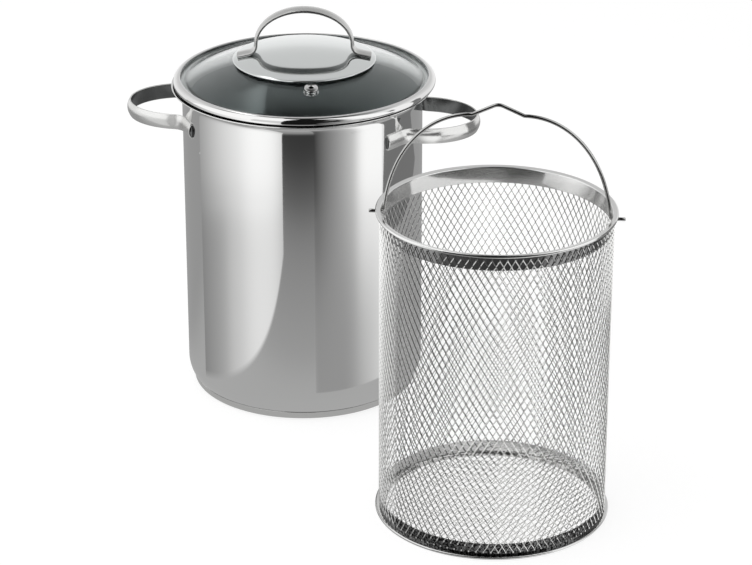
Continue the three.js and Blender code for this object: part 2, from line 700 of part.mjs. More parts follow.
// Bail: pins turned out through the rim, leaning legs, round shoulders and a straight-sided peak
function bail() {
  const legX = bandInnerRadius - SEAT_GAP - WIRE_RADIUS;
  const bendRadius = WIRE_RADIUS + BAIL_BEND_INNER_RADIUS;
  const bend = arc(legX + bendRadius, bendRadius, bendRadius, -Math.PI / 2, -Math.PI);
  const pinTip = basketLipRadius + PIN_PROUD;
  const shoulder = new THREE.CubicBezierCurve(
    bend.at(-1),
    at(legX - BAIL_LEG_LEAN, BAIL_LEG_PULL),
    at(BAIL_PEAK_HALF_WIDTH + BAIL_SHOULDER_PULL, BAIL_SHOULDER_HEIGHT),
    at(BAIL_PEAK_HALF_WIDTH, BAIL_SHOULDER_HEIGHT),
  );
  const peak = at(0, BAIL_SHOULDER_HEIGHT + BAIL_PEAK_RISE);
  const right = [at(pinTip, 0), ...bend, ...shoulder.getPoints(CURVE_STEPS).slice(1), peak];
  const route = [...right, ...mirrored(right)].map((point) => new THREE.Vector3(point.x, 0, point.y));
  const section = new THREE.Shape(arc(0, 0, WIRE_RADIUS, 0, 2 * Math.PI, WIRE_SIDES).slice(0, -1));
  const options = { steps: route.length - 1, extrudePath: new PointPath(route), bevelEnabled: false };
  const wire = new THREE.ExtrudeGeometry(section, options);
  return named('bail', wire.translate(0, 0, pinHeight), polishedSteel);
}

// Assembly
const pot = new THREE.Group();
pot.add(
  potBody(),
  baseCore(),
  baseCap(),
  sideHandle('handle_right', 0),
  sideHandle('handle_left', Math.PI),
);

// The lid has slid to one side as far as its play lets it
const lid = new THREE.Group();
const lidTurn = THREE.MathUtils.degToRad(LID_TURN_DEG);
lid.position.set(LID_OFFSET * Math.cos(lidTurn), LID_OFFSET * Math.sin(lidTurn), POT_HEIGHT + SEAT_GAP);
lid.rotation.z = lidTurn;
lid.add(lidRim(), lidGlassDome(), handlePlate(), lidHandle(), ...lidFastening(), vent());

const basket = new THREE.Group();
const basketBearing = THREE.MathUtils.degToRad(BASKET_BEARING_DEG);
const basketDistance = POT_OUTER_RADIUS + BASKET_GAP + basketLipRadius;
basket.position.set(basketDistance * Math.cos(basketBearing), basketDistance * Math.sin(basketBearing), 0);
basket.rotation.z = THREE.MathUtils.degToRad(BASKET_TURN_DEG);
basket.add(basketRim(), basketBaseRing(), basketWall(), basketFloor(), bail());

const asparagusPot = new THREE.Group();
asparagusPot.add(pot, lid, basket);

export default asparagusPot;
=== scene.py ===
import json
import math

import bpy
from mathutils import Matrix, Vector


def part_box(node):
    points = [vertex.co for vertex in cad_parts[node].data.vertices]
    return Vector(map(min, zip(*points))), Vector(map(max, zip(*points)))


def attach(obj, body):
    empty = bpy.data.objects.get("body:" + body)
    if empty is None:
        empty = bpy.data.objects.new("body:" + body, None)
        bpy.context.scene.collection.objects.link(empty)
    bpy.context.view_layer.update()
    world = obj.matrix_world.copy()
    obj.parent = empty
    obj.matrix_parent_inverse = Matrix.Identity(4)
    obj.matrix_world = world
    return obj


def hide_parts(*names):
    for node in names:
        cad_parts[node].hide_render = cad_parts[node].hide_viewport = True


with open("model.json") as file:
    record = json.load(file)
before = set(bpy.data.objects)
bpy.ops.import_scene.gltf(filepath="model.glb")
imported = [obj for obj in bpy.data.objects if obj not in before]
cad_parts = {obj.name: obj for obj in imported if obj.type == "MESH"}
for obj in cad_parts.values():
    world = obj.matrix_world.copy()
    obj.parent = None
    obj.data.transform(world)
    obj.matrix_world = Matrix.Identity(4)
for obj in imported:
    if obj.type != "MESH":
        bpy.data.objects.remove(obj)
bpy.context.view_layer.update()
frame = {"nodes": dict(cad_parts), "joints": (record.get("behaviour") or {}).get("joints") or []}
scene = bpy.context.scene


# Heat-spreading disc: a round of aluminium sheet, brazed under the pot's floor.
# The capsule seals it in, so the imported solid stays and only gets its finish:
# the fine rings that the sheet mill and the press leave on it.
ALUMINIUM_TONES = ((0.62, 0.63, 0.64), (0.74, 0.75, 0.76))
LINE_NOISE = {"Detail": 3.0, "Roughness": 0.65}
SMUDGE_NOISE = {"Scale": 24.0, "Detail": 4.0, "Roughness": 0.6}
LEAST_ROUGHNESS = 0.02
STRAP_GRAIN = (1.0, 0.006, 1.0)
MICRON = 0.000001


def feed(tree, node, inputs):
    """Gives each named input of a node a value, or the socket that feeds it."""
    for name, value in dict(inputs).items():
        if isinstance(value, bpy.types.NodeSocket):
            tree.links.new(value, node.inputs[name])
        else:
            node.inputs[name].default_value = value


def add_node(tree, kind, inputs=(), **settings):
    """Adds a node with its settings and inputs."""
    node = tree.nodes.new(kind)
    for name, value in settings.items():
        setattr(node, name, value)
    feed(tree, node, inputs)
    return node


def made(tree, kind, inputs=(), **settings):
    """The first output of a new node."""
    return add_node(tree, kind, inputs, **settings).outputs[0]


def calc(tree, operation, *values):
    """The output of a Math node."""
    return made(tree, "ShaderNodeMath", enumerate(values), operation=operation)


def blend_colours(tree, factor, first, second):
    """The colour output of a Mix node, whose colour sockets are the seventh and eighth."""
    inputs = {0: factor, 6: (*first, 1.0), 7: (*second, 1.0)}
    return add_node(tree, "ShaderNodeMix", inputs, data_type="RGBA").outputs[2]


def add_sockets(tree, way, kinds):
    """Gives a node group its named sockets."""
    for name, kind in kinds.items():
        tree.interface.new_socket(name, in_out=way, socket_type="NodeSocket" + kind)


def noise(tree, place, settings):
    """The output of a Noise Texture node."""
    return add_node(tree, "ShaderNodeTexNoise", {"Vector": place, **settings}).outputs["Fac"]


def make_polish_marks():
    """Rings or strokes that a wheel leaves, with the faint clouds of handling over them."""
    tree = bpy.data.node_groups.new("polish_marks", "ShaderNodeTree")
    add_sockets(tree, "INPUT", {"Vector": "Vector"})
    add_sockets(tree, "INPUT", dict.fromkeys(("Line Scale", "Roughness", "Spread"), "Float"))
    add_sockets(tree, "OUTPUT", dict.fromkeys(("Roughness", "Height", "Shade"), "Float"))
    given = tree.nodes.new("NodeGroupInput").outputs
    apart = add_node(tree, "ShaderNodeSeparateXYZ", {0: given["Vector"]}).outputs
    flat = made(tree, "ShaderNodeCombineXYZ", {"X": apart["X"], "Y": apart["Y"]})
    radius = add_node(tree, "ShaderNodeVectorMath", {0: flat}, operation="LENGTH").outputs["Value"]
    across = made(tree, "ShaderNodeCombineXYZ", {"X": radius, "Y": apart["Z"]})
    lines = noise(tree, across, {"Scale": given["Line Scale"], **LINE_NOISE})
    clouds = noise(tree, given["Vector"], SMUDGE_NOISE)
    shade = calc(tree, "MULTIPLY", calc(tree, "ADD", lines, clouds), 0.5)
    change = calc(tree, "MULTIPLY", calc(tree, "SUBTRACT", shade, 0.5), given["Spread"])
    roughness = calc(tree, "MAXIMUM", calc(tree, "ADD", given["Roughness"], change), LEAST_ROUGHNESS)
    add_node(tree, "NodeGroupOutput", {"Roughness": roughness, "Height": lines, "Shade": shade})
    return tree


POLISH_MARKS = make_polish_marks()


def new_finish(name):
    """A new material, its node tree and its shader."""
    material = bpy.data.materials.new(name)
    material.use_nodes = True
    return material, material.node_tree, material.node_tree.nodes["Principled BSDF"]


def worked_metal(name, tones, rough, spread, lines, microns, middle=(0, 0, 0), strap=False):
    """A metal finish with wheel marks: rings about an upright axis, or strokes along a strap.

    The roughness varies by the spread. lines says how fine the marks are, microns how deep.
    """
    material, tree, shader = new_finish(name)
    place = add_node(tree, "ShaderNodeTexCoord").outputs["UV" if strap else "Object"]
    grain = STRAP_GRAIN if strap else (1, 1, 1)
    centred = {"Vector": place, "Location": [-c for c in middle], "Scale": grain}
    mapped = made(tree, "ShaderNodeMapping", centred)
    values = {"Vector": mapped, "Line Scale": lines, "Roughness": rough, "Spread": spread}
    marks = add_node(tree, "ShaderNodeGroup", values, node_tree=POLISH_MARKS).outputs
    relief = {"Strength": 1.0, "Distance": microns * MICRON, "Height": marks["Height"]}
    feed(tree, shader, {
        "Base Color": blend_colours(tree, marks["Shade"], *tones),
        "Metallic": 1.0,
        "Roughness": marks["Roughness"],
        "Normal": made(tree, "ShaderNodeBump", relief),
    })
    return material


core_finish = worked_metal("milled_aluminium", ALUMINIUM_TONES, rough=0.38, spread=0.2, lines=900, microns=20)
core_node = frame["nodes"]["base_core"]
if not core_node.material_slots:
    core_node.data.materials.append(core_finish)
core_node.material_slots[0].material = core_finish


# Capsule: a shallow steel cup, pressed over the disc and brazed to the pot's floor.
# It is turned bright on its side and on the ring that it stands on, and its upper
# edge stops short of the body, which shows as a thin dark seam.
ROUND_STEPS = 160
CAPSULE_SHEET = 0.0006
CAPSULE_ROUND = 0.0030
CAPSULE_LIP = 0.00025
SEAM_GAP = 0.00055
CAPSULE_TONES = ((0.70, 0.70, 0.69), (0.79, 0.79, 0.78))


def arc(centre, radius, start, end, steps=10, rise=None):
    """Points of an arc in a profile. Angles are in degrees, 0 points outwards and 90 up.

    A rise, where there is one, is the upright radius of an oval arc.
    """
    points = []
    for step in range(steps + 1):
        angle = math.radians(start + (end - start) * step / steps)
        points.append((centre[0] + radius * math.cos(angle), centre[1] + (rise or radius) * math.sin(angle)))
    return points


def soften(mesh, crease=32):
    """Smooth shading, with edges sharper than the crease kept."""
    mesh.shade_smooth()
    mesh.set_sharp_from_angle(angle=math.radians(crease))
    return mesh


def new_mesh(name, corners, faces):
    """A mesh from its corners and faces."""
    mesh = bpy.data.meshes.new(name)
    mesh.from_pydata(corners, [], faces)
    return mesh


def turned(name, profile, steps=ROUND_STEPS):
    """A mesh turned about Z. The profile's (radius, height) points run anticlockwise."""
    corners = []
    rings = []
    for radius, height in profile:
        count = steps if radius > 0 else 1
        rings.append([len(corners) + i for i in range(count)])
        for i in range(count):
            angle = 2 * math.pi * i / steps
            corners.append((radius * math.cos(angle), radius * math.sin(angle), height))
    if len(rings[0]) > 1:
        rings.append(rings[0])
    faces = []
    for low, high in zip(rings, rings[1:]):
        for i in range(steps):
            j = (i + 1) % steps
            loop = (low[i % len(low)], low[j % len(low)], high[j % len(high)], high[i % len(high)])
            faces.append(tuple(dict.fromkeys(loop)))
    return soften(new_mesh(name, corners, faces))


def put(name, data):
    """A new object in the scene."""
    obj = bpy.data.objects.new(name, data)
    scene.collection.objects.link(obj)
    return obj


def piece(name, mesh, finishes, body, node):
    """Puts a finished mesh on its body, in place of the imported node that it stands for."""
    for finish in finishes:
        mesh.materials.append(finish)
    obj = put(name, mesh)
    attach(obj, body)
    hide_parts(node)


seam_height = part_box("pot_body")[0].z
cap_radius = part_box("base_cap")[1].x
cap_top = seam_height - SEAM_GAP
cap_turn = (cap_radius - CAPSULE_ROUND, CAPSULE_ROUND)
cap_profile = [
    (0, 0),
    *arc(cap_turn, CAPSULE_ROUND, -90, 0),
    *arc((cap_radius - CAPSULE_LIP, cap_top - CAPSULE_LIP), CAPSULE_LIP, 0, 90, 4),
    (cap_radius - CAPSULE_SHEET, cap_top),
    *arc(cap_turn, CAPSULE_ROUND - CAPSULE_SHEET, 0, -90),
    (0, CAPSULE_SHEET),
]
capsule_steel = worked_metal("capsule_steel", CAPSULE_TONES, rough=0.13, spread=0.1, lines=1400, microns=12)
piece("capsule", turned("capsule", cap_profile), [capsule_steel], "pot", "base_cap")


# Pot body: drawn from one disc of stainless sheet, with a rounded foot and a flared lip.
# Outside it is polished to a mirror on a turning wheel, inside it has the
# satin rings of the abrasive belt.
POT_RADIUS = 0.0800
POT_SHEET = 0.0008
FOOT_ROUND = 0.0200
FLARE_RISE = 0.0087
FLARE_POWER = 4
LIP_ROUND = 0.0004
FOOT_CENTRE_HEIGHT = 0.017005
MIRROR_TONES = ((0.765, 0.765, 0.76), (0.80, 0.80, 0.795))
BELT_TONES = ((0.64, 0.67, 0.67), (0.765, 0.80, 0.80))


def flare(inner_radius, low, width, rise, steps=20):
    """The outline of the flared lip, which turns out more and more towards its edge."""
    points = []
    for step in range(steps + 1):
        share = step / steps
        points.append((inner_radius + width * share ** FLARE_POWER, low + rise * share))
    return points


def zoned(name, zones, finishes):
    """A turned mesh with zones of (points, finish) along its profile."""
    mesh = turned(name, [point for points, _ in zones for point in points])
    ring_finishes = [finishes.index(finish) for points, finish in zones for _ in points]
    for face in mesh.polygons:
        face.material_index = ring_finishes[face.index // ROUND_STEPS]
    return mesh


rim_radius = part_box("pot_body")[1].x
rim_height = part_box("pot_body")[1].z
foot_centre = (POT_RADIUS - FOOT_ROUND, FOOT_CENTRE_HEIGHT)
foot_start = -math.degrees(math.asin((FOOT_CENTRE_HEIGHT - seam_height) / FOOT_ROUND))
inner_foot = FOOT_ROUND - POT_SHEET
inner_foot_end = -math.degrees(math.asin((FOOT_CENTRE_HEIGHT - seam_height - POT_SHEET) / inner_foot))
flare_low = rim_height - POT_SHEET - FLARE_RISE
flare_width = rim_radius - LIP_ROUND - POT_RADIUS
body_outside = [
    (0, seam_height),
    *arc(foot_centre, FOOT_ROUND, foot_start, 0, 14),
    *flare(POT_RADIUS, flare_low, flare_width, FLARE_RISE),
    *arc((rim_radius - LIP_ROUND, rim_height - LIP_ROUND), LIP_ROUND, -90, 90, 8),
]
body_inside = [
    *flare(POT_RADIUS - POT_SHEET, flare_low, flare_width + POT_SHEET, FLARE_RISE + POT_SHEET)[-2::-1],
    *arc(foot_centre, inner_foot, 0, inner_foot_end, 14),
    (0, seam_height + POT_SHEET),
]
mirror_steel = worked_metal("mirror_steel", MIRROR_TONES, rough=0.055, spread=0.05, lines=1100, microns=1.5)
belt_steel = worked_metal("belt_ground_steel", BELT_TONES, rough=0.3, spread=0.1, lines=1500, microns=0.5)
body_finishes = [mirror_steel, belt_steel]
body_mesh = zoned("vessel", ((body_outside, mirror_steel), (body_inside, belt_steel)), body_finishes)
piece("vessel", body_mesh, body_finishes, "pot", "pot_body")


# Side handles: two lengths of flat steel bar with a domed outer face, bent to a loop.
# Their feet follow the wall and are spot-welded to it. The bar is brushed along
# its length. Its flat inner face and its ends have the grey of the rolling mill, made much
# darker as painted shade where they face the wall and the gap at the feet.
BAR_HEIGHT = 0.0104
BAR_THICKNESS = 0.0026
BAR_EDGE = 0.00045
BAR_CROWN = 0.0015
LOOP_HALF_WIDTH = 0.0315
LOOP_REACH = 0.1181
FOOT_OUTER_ANGLE = 36.05
FOOT_INNER_ANGLE = 26.92
LOOP_ROOT_X = 0.07528
LOOP_LEG_X = 0.08128
BRUSHED_TONES = ((0.70, 0.70, 0.69), (0.78, 0.78, 0.77))
# Mill grey, darkened well below steel as painted shade, for the inner face and the ends
MILL_AND_SHADE_TONES = ((0.15, 0.155, 0.155), (0.21, 0.215, 0.215))
CROWN_STEPS = 12
END_EASE = 0.0004
END_SHRINK = 0.8


def bar_section(thickness, width, edge, crown):
    """Rounded bar section in (aside, across), with its +aside face domed by the crown."""
    side = thickness / 2 - crown
    half = width / 2 - edge
    points = arc((side - edge, half), edge, 0, 90, 4)
    points += arc((edge - thickness / 2, half), edge, 90, 180, 4)
    points += arc((edge - thickness / 2, -half), edge, 180, 270, 4)
    points += arc((side - edge, -half), edge, 270, 360, 4)
    for step in range(1, CROWN_STEPS):
        across = half * (2 * step / CROWN_STEPS - 1)
        points.append((side + crown * (1 - (across / half) ** 2), across))
    return points


def bend(pulls, steps):
    """A smooth bend from the first point, which it leaves out, to the last, drawn towards those between."""
    degree = len(pulls) - 1
    points = []
    for step in range(1, steps + 1):
        t = step / steps
        weights = [math.comb(degree, i) * t ** i * (1 - t) ** (degree - i) for i in range(degree + 1)]
        points.append(tuple(sum(w * pull[axis] for w, pull in zip(weights, pulls)) for axis in (0, 1)))
    return points


def swept(name, line, section, place, shaded_back=True):
    """A bar of one section along a flat line, with eased ends and strokes mapped along it.

    The section's aside runs to the right of the way along the line, across is square to its plane.
    With a shaded back, the section's longest side and the two ends get the second finish, a darker one that
    paints their shade.
    """
    path = [Vector(point) for point in line]
    ways = []
    for i in range(len(path)):
        ways.append((path[min(i + 1, len(path) - 1)] - path[max(i - 1, 0)]).normalized())
    stations = [(path[0], ways[0], END_SHRINK), (path[0] + ways[0] * END_EASE, ways[0], 1.0)]
    stations += [(point, way, 1.0) for point, way in zip(path[1:-1], ways[1:-1])]
    stations += [(path[-1] - ways[-1] * END_EASE, ways[-1], 1.0), (path[-1], ways[-1], END_SHRINK)]
    count = len(section)
    girth = [0.0]
    for i in range(count):
        girth.append(girth[-1] + (Vector(section[(i + 1) % count]) - Vector(section[i])).length)
    corners = []
    travel = [0.0]
    for i, (point, way, size) in enumerate(stations):
        if i:
            travel.append(travel[-1] + (point - stations[i - 1][0]).length)
        for aside, across in section:
            spot = point + Vector((way.y, -way.x)) * aside * size
            corners.append(place @ Vector((spot.x, spot.y, across * size)))
    faces = [tuple(range(count))]
    spots = [[(girth[i], 0.0) for i in range(count)]]
    for i in range(len(stations) - 1):
        for j in range(count):
            k = (j + 1) % count
            faces.append((i * count + j, (i + 1) * count + j, (i + 1) * count + k, i * count + k))
            near, far = travel[i], travel[i + 1]
            spots.append([(girth[j], near), (girth[j], far), (girth[j + 1], far), (girth[j + 1], near)])
    last = (len(stations) - 1) * count
    faces.append(tuple(range(last + count - 1, last - 1, -1)))
    spots.append([(girth[i], travel[-1]) for i in range(count - 1, -1, -1)])
    mesh = new_mesh(name, corners, faces)
    strokes = mesh.uv_layers.new(name="strokes")
    flat_spots = [value for face_spots in spots for spot in face_spots for value in spot]
    strokes.data.foreach_set("uv", flat_spots)
    widths = [girth[i + 1] - girth[i] for i in range(count)]
    flat_side = widths.index(max(widths))
    ends = (0, len(faces) - 1)
    for face in mesh.polygons:
        on_back = (face.index - 1) % count == flat_side
        face.material_index = int(shaded_back and (on_back or face.index in ends))
    return soften(mesh)


def there_and_back(line, signs):
    """A line continued by its mirror image. Its last point lies on the mirror."""
    return line + [(x * signs[0], y * signs[1]) for x, y in reversed(line[:-1])]


bar_low, bar_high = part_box("handle_right")
bar_radius = POT_RADIUS + BAR_THICKNESS / 2
foot_line = arc((0, 0), bar_radius, FOOT_OUTER_ANGLE, FOOT_INNER_ANGLE, 8)
leg_end = (LOOP_LEG_X, LOOP_HALF_WIDTH)
half_loop = foot_line + bend((foot_line[-1], (LOOP_ROOT_X, LOOP_HALF_WIDTH), leg_end), 12)
half_loop += arc((LOOP_LEG_X, 0), LOOP_REACH - LOOP_LEG_X, 90, 0, 28, rise=LOOP_HALF_WIDTH)[1:]
bar_domed = bar_section(BAR_THICKNESS, BAR_HEIGHT, BAR_EDGE, BAR_CROWN)
bar_outline = [(-aside, across) for aside, across in reversed(bar_domed)]
bar_marks = {"lines": 2600, "microns": 4, "strap": True}
brushed_bar = worked_metal("brushed_bar", BRUSHED_TONES, rough=0.25, spread=0.1, **bar_marks)
mill_and_shade_steel = worked_metal("mill_and_shade_steel", MILL_AND_SHADE_TONES, rough=0.22, spread=0.1, **bar_marks)
for handle, node, turn in (("grip_right", "handle_right", 0), ("grip_left", "handle_left", math.pi)):
    bar_place = Matrix.Rotation(turn, 4, "Z") @ Matrix.Translation((0, 0, (bar_low.z + bar_high.z) / 2))
    bar_mesh = swept(handle, there_and_back(half_loop, (1, -1)), bar_outline, bar_place)
    piece(handle, bar_mesh, [brushed_bar, mill_and_shade_steel], "pot", node)


# Lid rim: one steel strip, rolled so that it hangs a rounded shoulder inside the pot, carries the
# flat edge of the glass on a ledge and curls over it. Its outside is polished like the
# body. The groove that it leaves over the pot's lip has a near-black tone: painted shade. The inner
# wall of the curl is painted darker as shade. The seat under the glass is painted pale, as light that
# shows through the glass as a bright ring.
LID_TURN = math.radians(9.5)
SKIRT_DEPTH = 0.0063
SHOULDER_RADIUS = 0.0815
SHOULDER_REACH = 0.0065
SHOULDER_DROP = 0.0080
RIM_SHEET = 0.0005
RIM_RADIUS = 0.0871
LEDGE_RADIUS = 0.0846
RIM_STEP = 0.00095
CURL_HEIGHT = 0.0018
CURL_ROUND = 0.0005
CREST_RADIUS = 0.0832
CREST_HEIGHT = 0.0056
GRIP_RADIUS = 0.0824
GRIP_TOP = 0.0050
GRIP_LOW = 0.0037
# Painted light: the seat has a pale, half-metal tone, so it shows as a bright ring through the glass
SEAT_LIGHT_TONES = ((0.90, 0.90, 0.89), (0.98, 0.98, 0.97))
SEAT_LIGHT_METAL = 0.45
# Painted shade: a darker tone for the inner wall of the curl, which shows as a dark line
CURL_WALL_SHADE_TONES = ((0.30, 0.31, 0.31), (0.38, 0.39, 0.39))
# Painted shade: a near-black tone for the groove over the pot's lip
GROOVE_SHADE_TONES = ((0.02, 0.02, 0.02), (0.05, 0.05, 0.05))

lid_low, lid_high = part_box("lid_rim")
lid_seat = Vector((lid_low.x + lid_high.x, lid_low.y + lid_high.y, 2 * (lid_low.z + SKIRT_DEPTH))) / 2
lid_place = Matrix.Translation(lid_seat) @ Matrix.Rotation(LID_TURN, 4, "Z")
crest_centre = (CREST_RADIUS, CURL_HEIGHT)
crest_width = RIM_RADIUS - CREST_RADIUS
crest_rise = CREST_HEIGHT - CURL_HEIGHT
shoulder_centre = (SHOULDER_RADIUS, RIM_SHEET - SHOULDER_DROP)
rim_under = [
    *arc(shoulder_centre, SHOULDER_REACH - RIM_SHEET, 180, 90, 14, rise=SHOULDER_DROP - RIM_SHEET),
    (LEDGE_RADIUS, 0),
    (LEDGE_RADIUS, RIM_STEP),
]
rim_over = [
    *arc((RIM_RADIUS - CURL_ROUND, CURL_HEIGHT), CURL_ROUND, -90, 0, 6, rise=CURL_HEIGHT - RIM_STEP),
    *arc(crest_centre, crest_width, 5, 90, 18, rise=crest_rise),
    *arc((CREST_RADIUS, GRIP_TOP), CREST_RADIUS - GRIP_RADIUS, 100, 130, 3, rise=CREST_HEIGHT - GRIP_TOP),
]
rim_wall = [
    *arc((CREST_RADIUS, GRIP_TOP), CREST_RADIUS - GRIP_RADIUS, 140, 180, 4, rise=CREST_HEIGHT - GRIP_TOP),
    (GRIP_RADIUS, GRIP_LOW),
]
rim_inside = [
    (GRIP_RADIUS + RIM_SHEET, GRIP_LOW),
    (GRIP_RADIUS + RIM_SHEET, GRIP_TOP - RIM_SHEET),
    *arc(crest_centre, crest_width - RIM_SHEET, 90, 0, 10, rise=crest_rise - RIM_SHEET),
    (RIM_RADIUS - CURL_ROUND - RIM_SHEET, RIM_STEP + RIM_SHEET),
    (LEDGE_RADIUS - RIM_SHEET, RIM_STEP + RIM_SHEET),
]
rim_seat = [
    (LEDGE_RADIUS - RIM_SHEET, RIM_SHEET),
    *arc(shoulder_centre, SHOULDER_REACH, 90, 180, 14, rise=SHOULDER_DROP),
]
rim_marks = {"lines": 1100, "microns": 2}
# The groove and the curl's inner wall get painted shade, and the seat gets painted light
groove_shade_steel = worked_metal("groove_shade_steel", GROOVE_SHADE_TONES, rough=0.5, spread=0.1, **rim_marks)
seat_light_steel = worked_metal("painted_light_seat", SEAT_LIGHT_TONES, rough=0.3, spread=0.1, **rim_marks)
seat_light_steel.node_tree.nodes["Principled BSDF"].inputs["Metallic"].default_value = SEAT_LIGHT_METAL
curl_wall_shade_steel = worked_metal("curl_wall_shade_steel", CURL_WALL_SHADE_TONES, rough=0.15, spread=0.05, **rim_marks)
rim_finishes = [mirror_steel, groove_shade_steel, curl_wall_shade_steel, seat_light_steel]
rim_zones = (
    (rim_under, groove_shade_steel), (rim_over, mirror_steel), (rim_wall, curl_wall_shade_steel),
    (rim_inside, mirror_steel), (rim_seat, seat_light_steel),
)
lid_rim_mesh = zoned("lid_band", rim_zones, rim_finishes)
lid_rim_mesh.transform(lid_place)
piece("lid_band", lid_rim_mesh, rim_finishes, "lid", "lid_rim")


# Lid glass: a round of tempered glass, 3.2 mm thick, slumped to a shallow dome.
# Its flat, ground edge sits in the rim, and it has a hole in the middle for the handle's
# screw and a small one for the steam vent.
GLASS_THICKNESS = 0.0032
DOME_OUTER = 0.1880
DOME_FOOT = 0.0785
DOME_BEND = 0.0015
GLASS_EDGE_RADIUS = 0.0838
GLASS_EDGE_LOW = 0.0008
GLASS_EDGE_HIGH = 0.00355
GLASS_EDGE_EASE = 0.0004
GLASS_HOLE = 0.0043
VENT_HOLE = 0.0033
VENT_RADIUS = 0.0525
VENT_BEARING = math.radians(-83.9)
GLASS_TINT = (0.93, 0.955, 0.955, 1.0)
GLASS_SHEEN = (0.80, 1.0, 1.0, 1.0)
GLASS_INDEX = 1.5
HAZE_NOISE = {"Scale": 30.0, "Detail": 3.0}
HAZE_SPAN = (0.45, 0.8)
FINGER_HAZE = (0.0, 0.035)
DRILL_REACH = 0.01


def settled(obj):
    """The plain mesh that an object's modifier makes of it. The object and its own mesh are spent."""
    depsgraph = bpy.context.evaluated_depsgraph_get()
    mesh = bpy.data.meshes.new_from_object(obj.evaluated_get(depsgraph), depsgraph=depsgraph)
    name = obj.name
    bpy.data.meshes.remove(obj.data)
    mesh.name = name
    return mesh


def drilled(mesh, cutter):
    """The mesh with the cutter's shape taken out of it."""
    work = put(mesh.name, mesh)
    tool = put("tool", cutter)
    cut = work.modifiers.new("cut", "BOOLEAN")
    cut.operation = "DIFFERENCE"
    cut.solver = "EXACT"
    cut.object = tool
    result = settled(work)
    bpy.data.meshes.remove(cutter)
    return soften(result)


def rod(radius, low, high, place, steps=48):
    """A plain rod for drilling, from low to high along its own axis."""
    mesh = turned("rod", [(0, low), (radius, low), (radius, high), (0, high)], steps)
    mesh.transform(place)
    return mesh


def dome_arc(dome, start, end, steps):
    """A profile along a dome about the lid's axis, between two distances from it."""
    points = []
    for step in range(steps + 1):
        radius = start + (end - start) * step / steps
        points.append((radius, dome_centre + math.sqrt(dome ** 2 - radius ** 2)))
    return points


def remap(tree, value, old=(0.0, 1.0), new=(0.0, 1.0)):
    """A value brought from one range to another."""
    span = {"Value": value, "From Min": old[0], "From Max": old[1], "To Min": new[0], "To Max": new[1]}
    return made(tree, "ShaderNodeMapRange", span)


dome_centre = GLASS_EDGE_HIGH - math.sqrt(DOME_OUTER ** 2 - DOME_FOOT ** 2)
dome_inner = DOME_OUTER - GLASS_THICKNESS
under_foot = math.sqrt(dome_inner ** 2 - (GLASS_EDGE_LOW - dome_centre) ** 2)
glass_under = dome_arc(dome_inner, GLASS_HOLE, under_foot - DOME_BEND, 40)
glass_over = dome_arc(DOME_OUTER, DOME_FOOT - DOME_BEND, GLASS_HOLE, 40)
flat_under = (under_foot + DOME_BEND, GLASS_EDGE_LOW)
flat_over = (DOME_FOOT + DOME_BEND, GLASS_EDGE_HIGH)
glass_profile = [
    *glass_under,
    *bend((glass_under[-1], (under_foot, GLASS_EDGE_LOW), flat_under), 6),
    (GLASS_EDGE_RADIUS - GLASS_EDGE_EASE, GLASS_EDGE_LOW),
    (GLASS_EDGE_RADIUS, GLASS_EDGE_LOW + GLASS_EDGE_EASE),
    (GLASS_EDGE_RADIUS, GLASS_EDGE_HIGH - GLASS_EDGE_EASE),
    (GLASS_EDGE_RADIUS - GLASS_EDGE_EASE, GLASS_EDGE_HIGH),
    flat_over,
    *bend((flat_over, (DOME_FOOT, GLASS_EDGE_HIGH), glass_over[0]), 6)[:-1],
    *glass_over,
]
vent_tilt = math.asin(VENT_RADIUS / DOME_OUTER)
vent_seat = dome_centre + math.sqrt(DOME_OUTER ** 2 - VENT_RADIUS ** 2)
vent_place = Matrix.Rotation(VENT_BEARING, 4, "Z") @ Matrix.Translation((VENT_RADIUS, 0, vent_seat))
vent_place = vent_place @ Matrix.Rotation(vent_tilt, 4, "Y")
vent_drill = rod(VENT_HOLE, -DRILL_REACH, DRILL_REACH, vent_place)
glass_mesh = drilled(turned("lid_pane", glass_profile), vent_drill)
glass_mesh.transform(lid_place)

pane_glass, pane_tree, pane_shader = new_finish("tempered_glass")
pane_place = add_node(pane_tree, "ShaderNodeTexCoord").outputs["Object"]
haze = remap(pane_tree, noise(pane_tree, pane_place, HAZE_NOISE), HAZE_SPAN, FINGER_HAZE)
feed(pane_tree, pane_shader, {
    "Base Color": GLASS_TINT,
    "Roughness": haze,
    "IOR": GLASS_INDEX,
    "Transmission Weight": 1.0,
    "Specular Tint": GLASS_SHEEN,
})
piece("lid_pane", glass_mesh, [pane_glass], "lid", "lid_glass")


# Handle plate: a shallow dome of polished sheet that follows the glass.
# The lid's handle is welded to it, and it hides the hole in the glass.
PLATE_UNDER = 0.1892
PLATE_TOP = 0.1902
PLATE_RADIUS = 0.0475
PLATE_EDGE = 0.0004
PLATE_POLE = 0.004
PLATE_TONES = ((0.80, 0.825, 0.82), (0.84, 0.865, 0.86))

plate_rim = dome_centre + math.sqrt(PLATE_TOP ** 2 - PLATE_RADIUS ** 2) - PLATE_EDGE
plate_profile = [
    (0, dome_centre + PLATE_UNDER),
    *dome_arc(PLATE_UNDER, PLATE_POLE, PLATE_RADIUS - PLATE_EDGE, 24),
    *arc((PLATE_RADIUS - PLATE_EDGE, plate_rim), PLATE_EDGE, -60, 75, 6),
    *dome_arc(PLATE_TOP, PLATE_RADIUS - 2 * PLATE_EDGE, PLATE_POLE, 24),
    (0, dome_centre + PLATE_TOP),
]
plate_mesh = turned("grip_plate", plate_profile)
plate_mesh.transform(lid_place)
plate_steel = worked_metal("plate_steel", PLATE_TONES, rough=0.085, spread=0.05, lines=1300, microns=3)
piece("grip_plate", plate_mesh, [plate_steel], "lid", "handle_plate")


